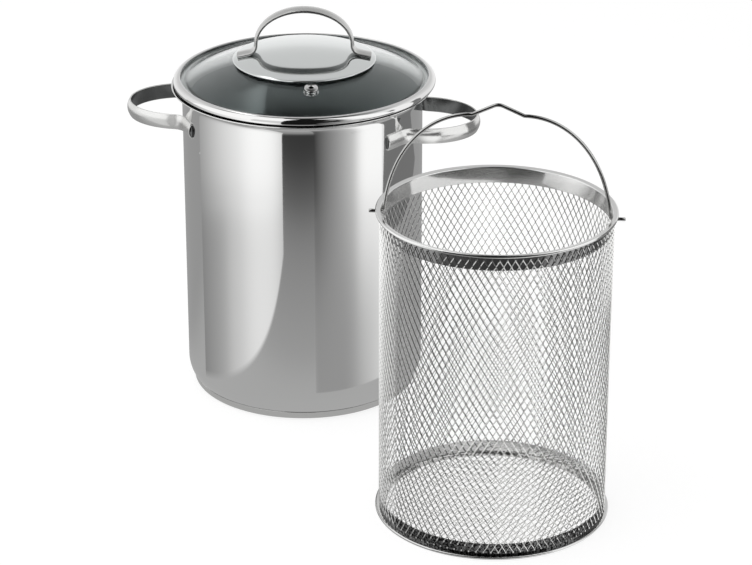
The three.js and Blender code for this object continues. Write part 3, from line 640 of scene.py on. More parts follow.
# Lid handle: a steel strap bent to an arch, with two feet that lie on the plate.
# It is welded there and brushed along its length; its inside and the ends of its feet get a near-black tone,
# painted shade under the arch and at the feet.
# Heights are counted from the centre of the glass's dome.
ARCH_WIDTH = 0.0110
ARCH_THICKNESS = 0.0024
ARCH_EDGE = 0.0005
ARCH_CROWN = 0.0007
ARCH_HALF_SPAN = 0.0318
ARCH_SPRING = 0.19479
ARCH_APEX = 0.21780
ARCH_ROOT = 0.18904
ARCH_TONES = ((0.52, 0.52, 0.515), (0.62, 0.62, 0.61))
# Painted shade: a near-black tone for the arch's inside and the ends of its feet
ARCH_SHADE_TONES = ((0.09, 0.094, 0.094), (0.14, 0.145, 0.145))
ARCH_FOOT_DOME = 0.1915
ARCH_FOOT_OUTER = 0.0445
ARCH_FOOT_INNER = 0.03755

arch_feet = dome_arc(ARCH_FOOT_DOME, ARCH_FOOT_OUTER, ARCH_FOOT_INNER, 8)
spring = dome_centre + ARCH_SPRING
arch_root = (ARCH_HALF_SPAN, dome_centre + ARCH_ROOT)
half_arch = arch_feet + bend((arch_feet[-1], arch_root, (ARCH_HALF_SPAN, spring)), 14)
half_arch += arc((0, spring), ARCH_HALF_SPAN, 0, 90, 32, rise=ARCH_APEX - ARCH_SPRING)[1:]
arch_line = there_and_back(half_arch, (-1, 1))
arch_section = bar_section(ARCH_THICKNESS, ARCH_WIDTH, ARCH_EDGE, ARCH_CROWN)
arch_mesh = swept("lid_grip", arch_line, arch_section, lid_place @ Matrix.Rotation(math.pi / 2, 4, "X"))
arch_steel = worked_metal("brushed_arch", ARCH_TONES, rough=0.24, spread=0.12, **bar_marks)
arch_shade_steel = worked_metal("arch_shade_steel", ARCH_SHADE_TONES, rough=0.3, spread=0.1, **bar_marks)
piece("lid_grip", arch_mesh, [arch_steel, arch_shade_steel], "lid", "lid_handle")


# Fastening of the plate: a threaded boss under it goes through the glass,
# and a screw with a washer pulls it tight from below. Black silicone rings
# keep the steel off the glass. Heights are counted from the centre of the dome.
BOSS_BORE = 0.0022
BOSS_RADIUS = 0.0040
BOSS_LOW = 0.18356
GASKET_RADIUS = 0.0160
GASKET_UNDER = 0.1883
GASKET_TOP = 0.1889
WASHER_RADIUS = 0.0095
WASHER_LOW = 0.18226
WASHER_HEIGHT = 0.0010
SCREW_HEAD = 0.0055
SCREW_HEAD_HEIGHT = 0.0022
SCREW_HEAD_EASE = 0.0009
SCREW_SHANK = 0.0019
SCREW_TOP = 0.18856
SCREW_SOCKET = 0.0017
SCREW_SOCKET_DEPTH = 0.0013
SOCKET_OVERCUT = 0.001
BOSS_EASE = 0.0002
FASTENER_STEPS = 64
SILICONE_TONES = ((0.018, 0.019, 0.019), (0.035, 0.036, 0.036))
SILICONE_NOISE = {"Scale": 700.0, "Detail": 4.0}
SILICONE_ROUGHNESS = (0.45, 0.7)


def ring(inner, outer, low, high, ease):
    """The profile of a flat ring with its four edges eased."""
    return [
        *arc((inner + ease, low + ease), ease, 180, 270, 3),
        *arc((outer - ease, low + ease), ease, 270, 360, 3),
        *arc((outer - ease, high - ease), ease, 0, 90, 3),
        *arc((inner + ease, high - ease), ease, 90, 180, 3),
    ]


seal_rubber, seal_tree, seal_shader = new_finish("moulded_silicone")
seal_place = add_node(seal_tree, "ShaderNodeTexCoord").outputs["Object"]
seal_bloom = noise(seal_tree, seal_place, SILICONE_NOISE)
seal_roughness = remap(seal_tree, seal_bloom, new=SILICONE_ROUGHNESS)
seal_colour = blend_colours(seal_tree, seal_bloom, *SILICONE_TONES)
feed(seal_tree, seal_shader, {"Base Color": seal_colour, "Roughness": seal_roughness})

fastener_marks = {"lines": 1800, "microns": 10}
fastener_steel = worked_metal("fastener_steel", BRUSHED_TONES, rough=0.24, spread=0.12, **fastener_marks)
boss_low = dome_centre + BOSS_LOW
boss_high = dome_centre + PLATE_UNDER
washer_low = dome_centre + WASHER_LOW
washer_high = washer_low + WASHER_HEIGHT
seal_high = washer_high + WASHER_HEIGHT
head_low = washer_low - SCREW_HEAD_HEIGHT
screw_top = dome_centre + SCREW_TOP
head_turn = (SCREW_HEAD - SCREW_HEAD_EASE, head_low + SCREW_HEAD_EASE)
socket_low = head_low - SOCKET_OVERCUT
gasket_profile = [
    *dome_arc(GASKET_UNDER, GLASS_HOLE, GASKET_RADIUS, 8),
    *dome_arc(GASKET_TOP, GASKET_RADIUS, GLASS_HOLE, 8),
]
screw_profile = [
    (0, head_low),
    *arc(head_turn, SCREW_HEAD_EASE, -90, 0, 6),
    (SCREW_HEAD, washer_low),
    (SCREW_SHANK, washer_low),
    (SCREW_SHANK, screw_top - SCREW_SHANK / 2),
    (SCREW_SHANK / 2, screw_top),
    (0, screw_top),
]
socket_drill = rod(SCREW_SOCKET, socket_low, head_low + SCREW_SOCKET_DEPTH, Matrix.Identity(4), 6)
boss_profile = ring(BOSS_BORE, BOSS_RADIUS, boss_low, boss_high, BOSS_EASE)
washer_profile = ring(BOSS_BORE, WASHER_RADIUS, washer_low, washer_high, BOSS_EASE)
seal_profile = ring(GLASS_HOLE, WASHER_RADIUS, washer_high, seal_high, BOSS_EASE)
screw_mesh = drilled(turned("grip_screw", screw_profile, FASTENER_STEPS), socket_drill)
fastening = (
    (turned("grip_boss", boss_profile, FASTENER_STEPS), fastener_steel, "satin_steel", "plate_boss"),
    (turned("grip_gasket", gasket_profile, FASTENER_STEPS), seal_rubber, "silicone_seal", "plate_gasket"),
    (turned("grip_washer", washer_profile, FASTENER_STEPS), fastener_steel, "satin_steel", "screw_washer"),
    (turned("grip_seal", seal_profile, FASTENER_STEPS), seal_rubber, "silicone_seal", "screw_gasket"),
    (screw_mesh, fastener_steel, "satin_steel", "lid_screw"),
)
for mesh, finish, slot, node in fastening:
    mesh.transform(lid_place)
    piece(mesh.name, mesh, [finish], "lid", node)


# Steam vent: a bright flanged eyelet through the glass, on a thin silicone ring.
# Its tube is clinched over a steel washer underneath.
EYELET_BORE = 0.0016
EYELET_TUBE = 0.0030
EYELET_FLANGE = 0.0045
EYELET_TOP = 0.0017
EYELET_SEAT = 0.0008
EYELET_CLINCH = 0.0038
EYELET_LOW = -0.0050
VENT_SEAL_LOW = 0.0003
VENT_WASHER_RADIUS = 0.0050
VENT_WASHER_LOW = -0.0041
VENT_WASHER_HIGH = -0.0035
MOUTH_EASE = 0.0006
FLANGE_EASE = 0.0003
VENT_SEAL_EASE = 0.0002
VENT_WASHER_EASE = 0.00015

clinch_ease = (EYELET_CLINCH - EYELET_TUBE) / 2
eyelet_profile = [
    (EYELET_BORE, EYELET_LOW),
    *arc((EYELET_CLINCH - clinch_ease, EYELET_LOW + clinch_ease), clinch_ease, -90, 90, 8),
    (EYELET_TUBE, EYELET_LOW + 2 * clinch_ease),
    (EYELET_TUBE, EYELET_SEAT),
    *arc((EYELET_FLANGE - FLANGE_EASE, EYELET_SEAT + FLANGE_EASE), FLANGE_EASE, -90, 60, 6),
    *arc((EYELET_BORE + MOUTH_EASE, EYELET_TOP - MOUTH_EASE), MOUTH_EASE, 75, 180, 8),
]
vent_seal_profile = ring(VENT_HOLE, EYELET_FLANGE, VENT_SEAL_LOW, EYELET_SEAT, VENT_SEAL_EASE)
vent_ring_profile = ring(VENT_HOLE, VENT_WASHER_RADIUS, VENT_WASHER_LOW, VENT_WASHER_HIGH, VENT_WASHER_EASE)
vent_pieces = (
    ("vent_lip", eyelet_profile, mirror_steel, "polished_steel", "vent_eyelet"),
    ("vent_seal", vent_seal_profile, seal_rubber, "silicone_seal", "vent_gasket"),
    ("vent_ring", vent_ring_profile, fastener_steel, "satin_steel", "vent_washer"),
)
for name, profile, finish, slot, node in vent_pieces:
    mesh = turned(name, profile, FASTENER_STEPS)
    mesh.transform(lid_place @ vent_place)
    piece(name, mesh, [finish], "lid", node)


# Basket bands: two hoops of polished strip with a rolled lip, spot-welded inside the mesh.
# The lower one turns in to a shelf for the floor, and the upper one has
# two holes under its lip for the bail.
HOOP_INNER = 0.0699
HOOP_OUTER = 0.0704
HOOP_TOP = 0.2015
HOOP_LOW = 0.1905
LIP_LOW = 0.1993
LIP_RADIUS = 0.0736
BASE_LIP_HIGH = 0.0018
BASE_BAND_HIGH = 0.0095
SHELF_INNER = 0.0664
SHELF_HEIGHT = 0.0008
PIN_HOLE = 0.0015
LIP_DIP = 0.0005
HOOP_FILLET = 0.0003
TOP_FOLD = 0.0008
PIN_DRILL_REACH = 0.08
# Painted shade: a darker tone for the upper band's outer face behind the mesh
SHADED_TONES = ((0.24, 0.24, 0.24), (0.40, 0.40, 0.40))
# Painted shade with painted reflection: near black, with a light speckle for the strands mirrored in the band
STRAND_REFLECTION_SHADE_TONES = ((0.012, 0.012, 0.012), (0.24, 0.24, 0.24))
SPECKLE_NOISE = {"Scale": 800.0, "Detail": 2.0}
SPECKLE_SPAN = (0.44, 0.60)
SPECKLE_ROUGHNESS = 0.3

bail_joint = next(joint for joint in frame["joints"] if joint["name"] == "bail_swing")
pin_centre = Vector(bail_joint["pos_m"])
basket_turn = math.atan2(bail_joint["axis"][1], bail_joint["axis"][0])
basket_place = Matrix.Translation((pin_centre.x, pin_centre.y, 0)) @ Matrix.Rotation(basket_turn, 4, "Z")
lip_ease = (HOOP_TOP - LIP_LOW) / 2
hoop_edge = (HOOP_OUTER - HOOP_INNER) / 2
top_profile = [
    *arc((HOOP_INNER + hoop_edge, HOOP_LOW + hoop_edge), hoop_edge, 180, 360, 6),
    *arc((HOOP_OUTER + HOOP_FILLET, LIP_LOW - HOOP_FILLET), HOOP_FILLET, 180, 90, 3),
    *arc((LIP_RADIUS - lip_ease, LIP_LOW + lip_ease), lip_ease, -90, 90, 12),
    *arc((HOOP_INNER + TOP_FOLD, HOOP_TOP - LIP_DIP - TOP_FOLD), TOP_FOLD, 75, 180, 6),
]
base_ease = BASE_LIP_HIGH / 2
shelf_edge = SHELF_HEIGHT / 2
base_profile = [
    *arc((SHELF_INNER + shelf_edge, shelf_edge), shelf_edge, 90, 270, 6),
    *arc((LIP_RADIUS - base_ease, base_ease), base_ease, -90, 90, 12),
    (HOOP_OUTER, BASE_LIP_HIGH),
    *arc((HOOP_INNER + hoop_edge, BASE_BAND_HIGH - hoop_edge), hoop_edge, 0, 180, 6),
    (HOOP_INNER, SHELF_HEIGHT + HOOP_FILLET),
    (HOOP_INNER - HOOP_FILLET, SHELF_HEIGHT),
]
pin_drill_place = Matrix.Translation((0, 0, pin_centre.z)) @ Matrix.Rotation(math.pi / 2, 4, "Y")
pin_drill = rod(PIN_HOLE, -PIN_DRILL_REACH, PIN_DRILL_REACH, pin_drill_place)
hoop_marks = {"spread": 0.06, "lines": 1200, "microns": 2, "middle": (pin_centre.x, pin_centre.y, 0)}
hoop_steel = worked_metal("hoop_steel", MIRROR_TONES, rough=0.11, **hoop_marks)
shaded_steel = worked_metal("shaded_steel", SHADED_TONES, rough=0.15, **hoop_marks)
# The lower band's outer face: painted shade behind the mesh, speckled with painted reflections of the strands
strand_reflection_shade_steel, speckle_tree, speckle_shader = new_finish("strand_reflection_shade_steel")
speckle_place = add_node(speckle_tree, "ShaderNodeTexCoord").outputs["Object"]
painted_strand_reflections = remap(speckle_tree, noise(speckle_tree, speckle_place, SPECKLE_NOISE), SPECKLE_SPAN)
painted_reflection_colour = blend_colours(speckle_tree, painted_strand_reflections, *STRAND_REFLECTION_SHADE_TONES)
speckle_values = {"Base Color": painted_reflection_colour, "Metallic": 1.0, "Roughness": SPECKLE_ROUGHNESS}
feed(speckle_tree, speckle_shader, speckle_values)
top_mesh = drilled(turned("basket_top_hoop", top_profile), pin_drill)
hoops = (
    (top_mesh, shaded_steel, LIP_LOW, "basket_rim"),
    (turned("basket_base_hoop", base_profile), strand_reflection_shade_steel, BASE_BAND_HIGH, "basket_base_ring"),
)
# Each band's outer face behind the mesh, below the lip, gets the band's second finish: painted shade
for mesh, band_finish, band_high, node in hoops:
    for face in mesh.polygons:
        outward = face.normal.x * face.center.x + face.normal.y * face.center.y
        near = math.hypot(face.center.x, face.center.y) < HOOP_OUTER + hoop_edge
        face.material_index = int(outward > 0 and near and face.center.z < band_high)
    mesh.transform(basket_place)
    piece(mesh.name, mesh, [hoop_steel, band_finish], "basket", node)


# Basket mesh: expanded metal, slit and stretched from one thin sheet so that
# zigzag strands meet at short bonds. One strip is rolled to the wall and its
# ends are welded; a disc of the same mesh is the floor.
MESH_RADIUS = 0.0710
MESH_LOW = 0.0020
MESH_HIGH = 0.1990
MESH_STRANDS = 196
MESH_PERIODS = 25
STRAND_WIDTH = 0.00052
STRAND_THICKNESS = 0.00036
STRAND_SWING = 0.00096
STRAND_TILT = math.radians(33)
BOND_SHARE = 0.24
FLOOR_STRAND_WIDTH = 0.00070
FLOOR_RADIUS = 0.0694
FLOOR_HEIGHT = 0.0013
MESH_TONES = ((0.78, 0.78, 0.77), (0.94, 0.94, 0.93))
FLAT_NORMAL = (0.0, 0.0, 1.0)
STRAND_SOCKETS = {
    "Spots": "Int", "Period": "Float", "Bond": "Float", "Swing": "Float",
    "Width": "Float", "Thickness": "Float", "Tilt": "Float", "Finish": "Material",
}


def strand_line(tree, given, hand):
    """One flat zigzag strand along Y; hand is 1 or -1, and says to which side it starts."""
    line = made(tree, "GeometryNodeMeshLine", {"Count": given["Spots"]})
    index = made(tree, "GeometryNodeInputIndex")
    corner = calc(tree, "FLOOR", calc(tree, "DIVIDE", index, 2.0))
    end = calc(tree, "SUBTRACT", calc(tree, "MODULO", index, 2.0), 0.5)
    reach = calc(tree, "MULTIPLY_ADD", end, given["Bond"], calc(tree, "ADD", corner, 0.5))
    along = calc(tree, "MULTIPLY", reach, calc(tree, "MULTIPLY", given["Period"], 0.5))
    side = calc(tree, "SUBTRACT", calc(tree, "MODULO", corner, 2.0), 0.5)
    aside = calc(tree, "MULTIPLY", side, calc(tree, "MULTIPLY", given["Swing"], 2.0 * hand))
    spot = made(tree, "ShaderNodeCombineXYZ", {"X": aside, "Y": along})
    return made(tree, "GeometryNodeSetPosition", {"Geometry": line, "Position": spot})


def strand_bars(tree, given, lines):
    """Gives flat strand lines their tilted, oblong section."""
    curve = made(tree, "GeometryNodeMeshToCurve", {"Mesh": lines})
    level = {"Curve": curve, "Normal": FLAT_NORMAL}
    curve = made(tree, "GeometryNodeSetCurveNormal", level, mode="FREE")
    curve = made(tree, "GeometryNodeSetCurveTilt", {"Curve": curve, "Tilt": given["Tilt"]})
    oblong = {"Width": given["Thickness"], "Height": given["Width"]}
    section = made(tree, "GeometryNodeCurvePrimitiveQuadrilateral", oblong)
    swept_inputs = {"Curve": curve, "Profile Curve": section, "Fill Caps": True}
    return made(tree, "GeometryNodeCurveToMesh", swept_inputs)


def both_hands(tree, strands):
    """The two strands as instances to pick from, and every second point's pick."""
    pool = tree.nodes.new("GeometryNodeJoinGeometry")
    for strand in strands:
        instance = made(tree, "GeometryNodeGeometryToInstance", {0: strand})
        tree.links.new(instance, pool.inputs[0])
    index = made(tree, "GeometryNodeInputIndex")
    pick = calc(tree, "MODULO", index, 2.0)
    return {"Instance": pool.outputs[0], "Pick Instance": True, "Instance Index": pick}


def finish_tree(tree, given, geometry):
    """Closes a tree with plain geometry and its finish."""
    plain = made(tree, "GeometryNodeRealizeInstances", {0: geometry})
    dressing = {"Geometry": plain, "Material": given["Finish"]}
    dressed = made(tree, "GeometryNodeSetMaterial", dressing)
    add_node(tree, "NodeGroupOutput", {0: dressed})


def start_tree(name, sockets):
    """A new geometry tree with named inputs."""
    tree = bpy.data.node_groups.new(name, "GeometryNodeTree")
    add_sockets(tree, "OUTPUT", {"Geometry": "Geometry"})
    add_sockets(tree, "INPUT", sockets)
    return tree, tree.nodes.new("NodeGroupInput").outputs


def make_wall_tree():
    """Strands side by side round a tube."""
    own_sockets = {"Radius": "Float", "Low": "Float", "Strands": "Int"}
    tree, given = start_tree("expanded_tube", {**STRAND_SOCKETS, **own_sockets})
    stood = []
    for hand in (1, -1):
        bars = strand_bars(tree, given, strand_line(tree, given, hand))
        lift = made(tree, "ShaderNodeCombineXYZ", {"X": given["Radius"], "Z": given["Low"]})
        stand = {"Geometry": bars, "Translation": lift, "Rotation": (math.pi / 2, 0, math.pi / 2)}
        stood.append(made(tree, "GeometryNodeTransform", stand))
    points = made(tree, "GeometryNodePoints", {"Count": given["Strands"]})
    index = made(tree, "GeometryNodeInputIndex")
    angle = calc(tree, "DIVIDE", calc(tree, "MULTIPLY", index, 2 * math.pi), given["Strands"])
    turn = made(tree, "ShaderNodeCombineXYZ", {"Z": angle})
    placed = {"Points": points, "Rotation": turn, **both_hands(tree, stood)}
    wall = made(tree, "GeometryNodeInstanceOnPoints", placed)
    finish_tree(tree, given, wall)
    return tree


def make_floor_tree():
    """Strands side by side on a disc, cut off at its edge."""
    own_sockets = {"Radius": "Float", "Pitch": "Float", "Strands": "Int"}
    tree, given = start_tree("expanded_disc", {**STRAND_SOCKETS, **own_sockets})
    lines = [strand_line(tree, given, hand) for hand in (1, -1)]
    index = made(tree, "GeometryNodeInputIndex")
    middle = calc(tree, "MULTIPLY", calc(tree, "SUBTRACT", given["Strands"], 1.0), 0.5)
    across = calc(tree, "MULTIPLY", calc(tree, "SUBTRACT", index, middle), given["Pitch"])
    back = calc(tree, "MULTIPLY", given["Radius"], -1.0)
    spot = made(tree, "ShaderNodeCombineXYZ", {"X": across, "Y": back})
    points = made(tree, "GeometryNodePoints", {"Count": given["Strands"], "Position": spot})
    placed = {"Points": points, **both_hands(tree, lines)}
    sheet = made(tree, "GeometryNodeInstanceOnPoints", placed)
    sheet = made(tree, "GeometryNodeRealizeInstances", {0: sheet})
    place = made(tree, "GeometryNodeInputPosition")
    reach = add_node(tree, "ShaderNodeVectorMath", {0: place}, operation="LENGTH").outputs["Value"]
    outside = calc(tree, "GREATER_THAN", reach, given["Radius"])
    sheet = made(tree, "GeometryNodeDeleteGeometry", {"Geometry": sheet, "Selection": outside})
    finish_tree(tree, given, strand_bars(tree, given, sheet))
    return tree


def grown(name, tree, values):
    """The plain mesh that a geometry tree makes from the given sizes."""
    holder = put(name, bpy.data.meshes.new(name))
    growth = holder.modifiers.new("growth", "NODES")
    growth.node_group = tree
    for item in tree.interface.items_tree:
        if item.item_type == "SOCKET" and item.in_out == "INPUT":
            growth[item.identifier] = values[item.name]
    mesh = settled(holder)
    mesh.shade_flat()
    return mesh


mesh_marks = {**hoop_marks, "spread": 0.2, "lines": 700, "microns": 10}
mesh_steel = worked_metal("expanded_steel", MESH_TONES, rough=0.18, **mesh_marks)
mesh_pitch = 2 * math.pi * MESH_RADIUS / MESH_STRANDS
mesh_period = (MESH_HIGH - MESH_LOW) / MESH_PERIODS
strand_values = {
    "Period": mesh_period, "Bond": BOND_SHARE, "Swing": STRAND_SWING, "Width": STRAND_WIDTH,
    "Thickness": STRAND_THICKNESS, "Tilt": STRAND_TILT, "Finish": mesh_steel,
}
wall_values = {"Spots": 4 * MESH_PERIODS, "Radius": MESH_RADIUS, "Low": MESH_LOW, "Strands": MESH_STRANDS}
wall_mesh = grown("basket_mesh_wall", make_wall_tree(), {**strand_values, **wall_values})
floor_strands = 2 * int(FLOOR_RADIUS / mesh_pitch) + 1
floor_spots = 4 * math.ceil(2 * FLOOR_RADIUS / mesh_period)
floor_values = {"Spots": floor_spots, "Radius": FLOOR_RADIUS, "Pitch": mesh_pitch, "Strands": floor_strands}
floor_values["Width"] = FLOOR_STRAND_WIDTH
floor_mesh = grown("basket_mesh_floor", make_floor_tree(), {**strand_values, **floor_values})
floor_mesh.transform(Matrix.Translation((0, 0, FLOOR_HEIGHT)))
for mesh, node in ((wall_mesh, "basket_wall"), (floor_mesh, "basket_floor")):
    mesh.transform(basket_place)
    mesh.materials.clear()
    piece(mesh.name, mesh, [mesh_steel], "basket", node)


# Bail: one length of round steel wire, bent to a bow with a raised peak for the hook.
# Its two ends turn outwards through the holes in the upper hoop,
# where they are flattened a little so that they stay in.
WIRE_RADIUS = 0.00115
PIN_TIP = 0.0778
PIN_STRAIGHT = 0.0020
BAIL_LEG = 0.06845
BAIL_BEND = 0.0020
BOW_PULLS = ((0.06445, 0.0410), (0.0420, 0.0642))
SHOULDER = (0.0156, 0.0642)
PEAK_HEIGHT = 0.0713
PEAK_ROUND = 0.0030
WIRE_SIDES = 16
WIRE_TONES = ((0.46, 0.46, 0.455), (0.56, 0.56, 0.55))

half_bail = [(PIN_TIP, 0.0), (PIN_TIP - PIN_STRAIGHT, 0.0)]
half_bail += arc((BAIL_LEG + BAIL_BEND, BAIL_BEND), BAIL_BEND, 270, 180, 10)
half_bail += bend(((BAIL_LEG, BAIL_BEND), *BOW_PULLS, SHOULDER), 36)
peak_slope = (PEAK_HEIGHT - SHOULDER[1]) / SHOULDER[0]
peak_start = (PEAK_ROUND, PEAK_HEIGHT - PEAK_ROUND * peak_slope)
half_bail += [peak_start]
half_bail += bend((peak_start, (0.0, PEAK_HEIGHT), (-PEAK_ROUND, peak_start[1])), 8)[:4]
wire_section = arc((0, 0), WIRE_RADIUS, 0, 360, WIRE_SIDES)[:-1]
bail_place = basket_place @ Matrix.Translation((0, 0, pin_centre.z)) @ Matrix.Rotation(math.pi / 2, 4, "X")
bail_mesh = swept("bail_wire", there_and_back(half_bail, (-1, 1)), wire_section, bail_place, shaded_back=False)
wire_steel = worked_metal("drawn_wire", WIRE_TONES, rough=0.1, spread=0.08, lines=3000, microns=4, strap=True)
piece("bail_wire", bail_mesh, [wire_steel], "bail", "bail")


# Floor and backdrop: a plain white sweep, as in a product studio.
# The floor stays white to the camera and in reflections, and takes the soft shadow.
FLOOR_REACH = 6.0
FLOOR_GREY = 0.30
FLOOR_GLOW = 0.80
SHADOW_DROP = 0.0002


def board(name, corners, faces, material):
    """A stage board."""
    mesh = new_mesh(name, corners, faces)
    mesh.materials.append(material)
    obj = put(name, mesh)
    return obj


def seen_rays(tree):
    """1 for rays from the camera, off metal or through glass, otherwise 0."""
    path = add_node(tree, "ShaderNodeLightPath").outputs
    off_metal = calc(tree, "MAXIMUM", path["Is Camera Ray"], path["Is Glossy Ray"])
    return calc(tree, "MAXIMUM", off_metal, path["Is Transmission Ray"])


sweep_white, sweep_tree, sweep_shader = new_finish("sweep_white")
sweep_tree.nodes.remove(sweep_shader)
sweep_matt = add_node(sweep_tree, "ShaderNodeBsdfDiffuse", {"Color": (FLOOR_GREY, FLOOR_GREY, FLOOR_GREY, 1)})
glow_strength = calc(sweep_tree, "MULTIPLY", seen_rays(sweep_tree), FLOOR_GLOW)
sweep_glow = add_node(sweep_tree, "ShaderNodeEmission", {"Strength": glow_strength})
sweep_parts = {0: sweep_matt.outputs[0], 1: sweep_glow.outputs[0]}
sweep_both = made(sweep_tree, "ShaderNodeAddShader", sweep_parts)
feed(sweep_tree, sweep_tree.nodes["Material Output"], {"Surface": sweep_both})
floor_signs = ((-1, -1), (1, -1), (1, 1), (-1, 1))
floor_corners = [(x * FLOOR_REACH, y * FLOOR_REACH, -SHADOW_DROP) for x, y in floor_signs]
board("floor", floor_corners, [(0, 1, 2, 3)], sweep_white)


# Light: a white room, one large soft lamp overhead, and the boards that a product
# photographer stands round bright metal. The boards show only in reflections, and
# only their faces that look at the object shine.
STUDIO_TURN = math.radians(9.5)
ROOM_FILL = 0.55
LAMP_POWER = 9.0
LAMP_SIZE = 1.4
LAMP_PLACE = Vector((-0.5, -0.5, 1.7))
LAMP_AIM = Vector((0.0, 0.0, 0.1))
CARD_STEPS = 24


def either(tree, factor, first, second):
    """The output of a Mix node for values."""
    return made(tree, "ShaderNodeMix", {0: factor, 2: first, 3: second})


def ramp(tree, source, stops):
    """A value that follows the stops (place, level)."""
    low, high = stops[0][0], stops[-1][0]
    top = max(level for _, level in stops)
    curve = add_node(tree, "ShaderNodeFloatCurve", {"Value": remap(tree, source, (low, high))})
    points = curve.mapping.curves[0].points
    while len(points) < len(stops):
        points.new(0.5, 0.5)
    for point, (place, level) in zip(points, stops):
        point.location = ((place - low) / (high - low), level / top)
        point.handle_type = "AUTO_CLAMPED"
    curve.mapping.update()
    return calc(tree, "MULTIPLY", curve.outputs[0], top)


def graded(tree, along, low_stops, top_stops, rise):
    """Light that follows one set of stops low on a card and another high on it."""
    return either(tree, rise, ramp(tree, along, low_stops), ramp(tree, along, top_stops))


def follow(tree, spot, rule):
    """What a rule gives at a spot: a plain number, stops along one axis, or a function's result."""
    if callable(rule):
        return rule(tree, spot)
    if isinstance(rule, tuple):
        axis, stops = rule
        return ramp(tree, spot[axis], stops)
    return rule


def light_board(name, corners, faces, level, cover=1.0):
    """A stage board that shows only in reflections.

    level and cover are the rules for its light and for how opaque it is. A spot on it has X, Y, Z
    and Turn, the bearing in degrees from the front.
    """
    material, tree, shader = new_finish(name)
    tree.nodes.remove(shader)
    place = add_node(tree, "ShaderNodeTexCoord").outputs["Object"]
    spot = dict(add_node(tree, "ShaderNodeSeparateXYZ", {0: place}).outputs.items())
    front = calc(tree, "MULTIPLY", spot["Y"], -1.0)
    spot["Turn"] = calc(tree, "DEGREES", calc(tree, "ARCTAN2", spot["X"], front))
    glow = made(tree, "ShaderNodeEmission", {"Strength": follow(tree, spot, level)})
    back = add_node(tree, "ShaderNodeNewGeometry").outputs["Backfacing"]
    shown = calc(tree, "MULTIPLY", calc(tree, "SUBTRACT", 1.0, back), follow(tree, spot, cover))
    clear = made(tree, "ShaderNodeBsdfTransparent")
    mixed = made(tree, "ShaderNodeMixShader", {0: shown, 1: clear, 2: glow})
    feed(tree, tree.nodes["Material Output"], {"Surface": mixed})
    obj = board(name, corners, faces, material)
    obj.rotation_euler.z = STUDIO_TURN
    obj.visible_camera = False
    obj.visible_diffuse = False
    obj.visible_transmission = False
    obj.visible_shadow = False


def flat_card(name, low, high, height, level, cover=1.0):
    """A card that lies flat, between two corners (x, y). With the right corner first, it shines down."""
    corners = [(low[0], low[1]), (high[0], low[1]), (high[0], high[1]), (low[0], high[1])]
    light_board(name, [(x, y, height) for x, y in corners], [(0, 1, 2, 3)], level, cover)


def stood_card(name, start, end, low, high, level, cover=1.0):
    """A card that stands upright along a line, and shines to the left of the way along it."""
    corners = [(*start, low), (*start, high), (*end, high), (*end, low)]
    light_board(name, corners, [(0, 1, 2, 3)], level, cover)


def curved_card(name, radius, reach, low, high, level, cover=1.0):
    """A card bent about the pot's axis between two bearings, and shining inwards."""
    corners = []
    for step in range(CARD_STEPS + 1):
        turn = math.radians(reach[0] + (reach[1] - reach[0]) * step / CARD_STEPS)
        for height in (low, high):
            corners.append((radius * math.sin(turn), -radius * math.cos(turn), height))
    faces = [(2 * i, 2 * i + 1, 2 * i + 3, 2 * i + 2) for i in range(CARD_STEPS)]
    light_board(name, corners, faces, level, cover)


# The table under the set, pale close by and dark towards the camera, and the dark room behind it
TABLE_STOPS = (
    (-1.0, 0.03), (-0.6, 0.05), (-0.52, 0.095), (-0.35, 0.29), (-0.2, 0.38), (-0.06, 0.48),
    (0.1, 0.36), (0.35, 0.36), (0.9, 0.8),
)
DARK_LEVEL = 0.008
flat_card("table", low=(-1.2, -1.0), high=(1.3, 0.9), height=0.0, level=("Y", TABLE_STOPS))
stood_card("front_dark", start=(-1.2, -1.0), end=(1.3, -1.0), low=0.0, high=0.9, level=DARK_LEVEL)

# White paper on the table, to the right and round the basket, and grey paper behind them
WHITE_PAPER = 1.0
GREY_PAPER = 0.2
BASKET_PAPER = 0.95
PAPER_FADE = ((0.08, 0.0), (0.16, 1.0))
flat_card("right_paper", low=(0.32, -0.4), high=(1.3, -0.1), height=0.0003, level=WHITE_PAPER)
flat_card("grey_paper", low=(0.36, -0.1), high=(0.9, 0.3), height=0.0003, level=GREY_PAPER)
flat_card(
    "basket_paper", low=(0.08, -0.42), high=(0.5, -0.13), height=0.0004,
    level=BASKET_PAPER, cover=("X", PAPER_FADE),
)

# White card close to the pot's left, and its wing and shelf round the handle
LEFT_TOP = ((-0.335, 0.9), (-0.15, 1.21), (-0.09, 0.97), (-0.03, 0.44))
LEFT_LOW = ((-0.335, 0.7), (-0.16, 0.93), (-0.09, 0.69), (-0.06, 0.44), (-0.03, 0.29))
LEFT_RISE = ((0.0, 0.0), (0.09, 0.0), (0.135, 0.48), (0.18, 0.95), (0.3, 1.0))
LEFT_FOOT = ((0.0, 0.0), (0.006, 1.0))
RISE_START = -0.08
RISE_SLOPE = 0.3
LEFT_WING = 0.78


def left_level(tree, spot):
    """The left card's light, which changes at an edge that climbs towards the camera."""
    ahead = calc(tree, "MAXIMUM", calc(tree, "SUBTRACT", RISE_START, spot["Y"]), 0.0)
    height = calc(tree, "MULTIPLY_ADD", ahead, RISE_SLOPE, spot["Z"])
    return graded(tree, spot["Y"], LEFT_LOW, LEFT_TOP, ramp(tree, height, LEFT_RISE))


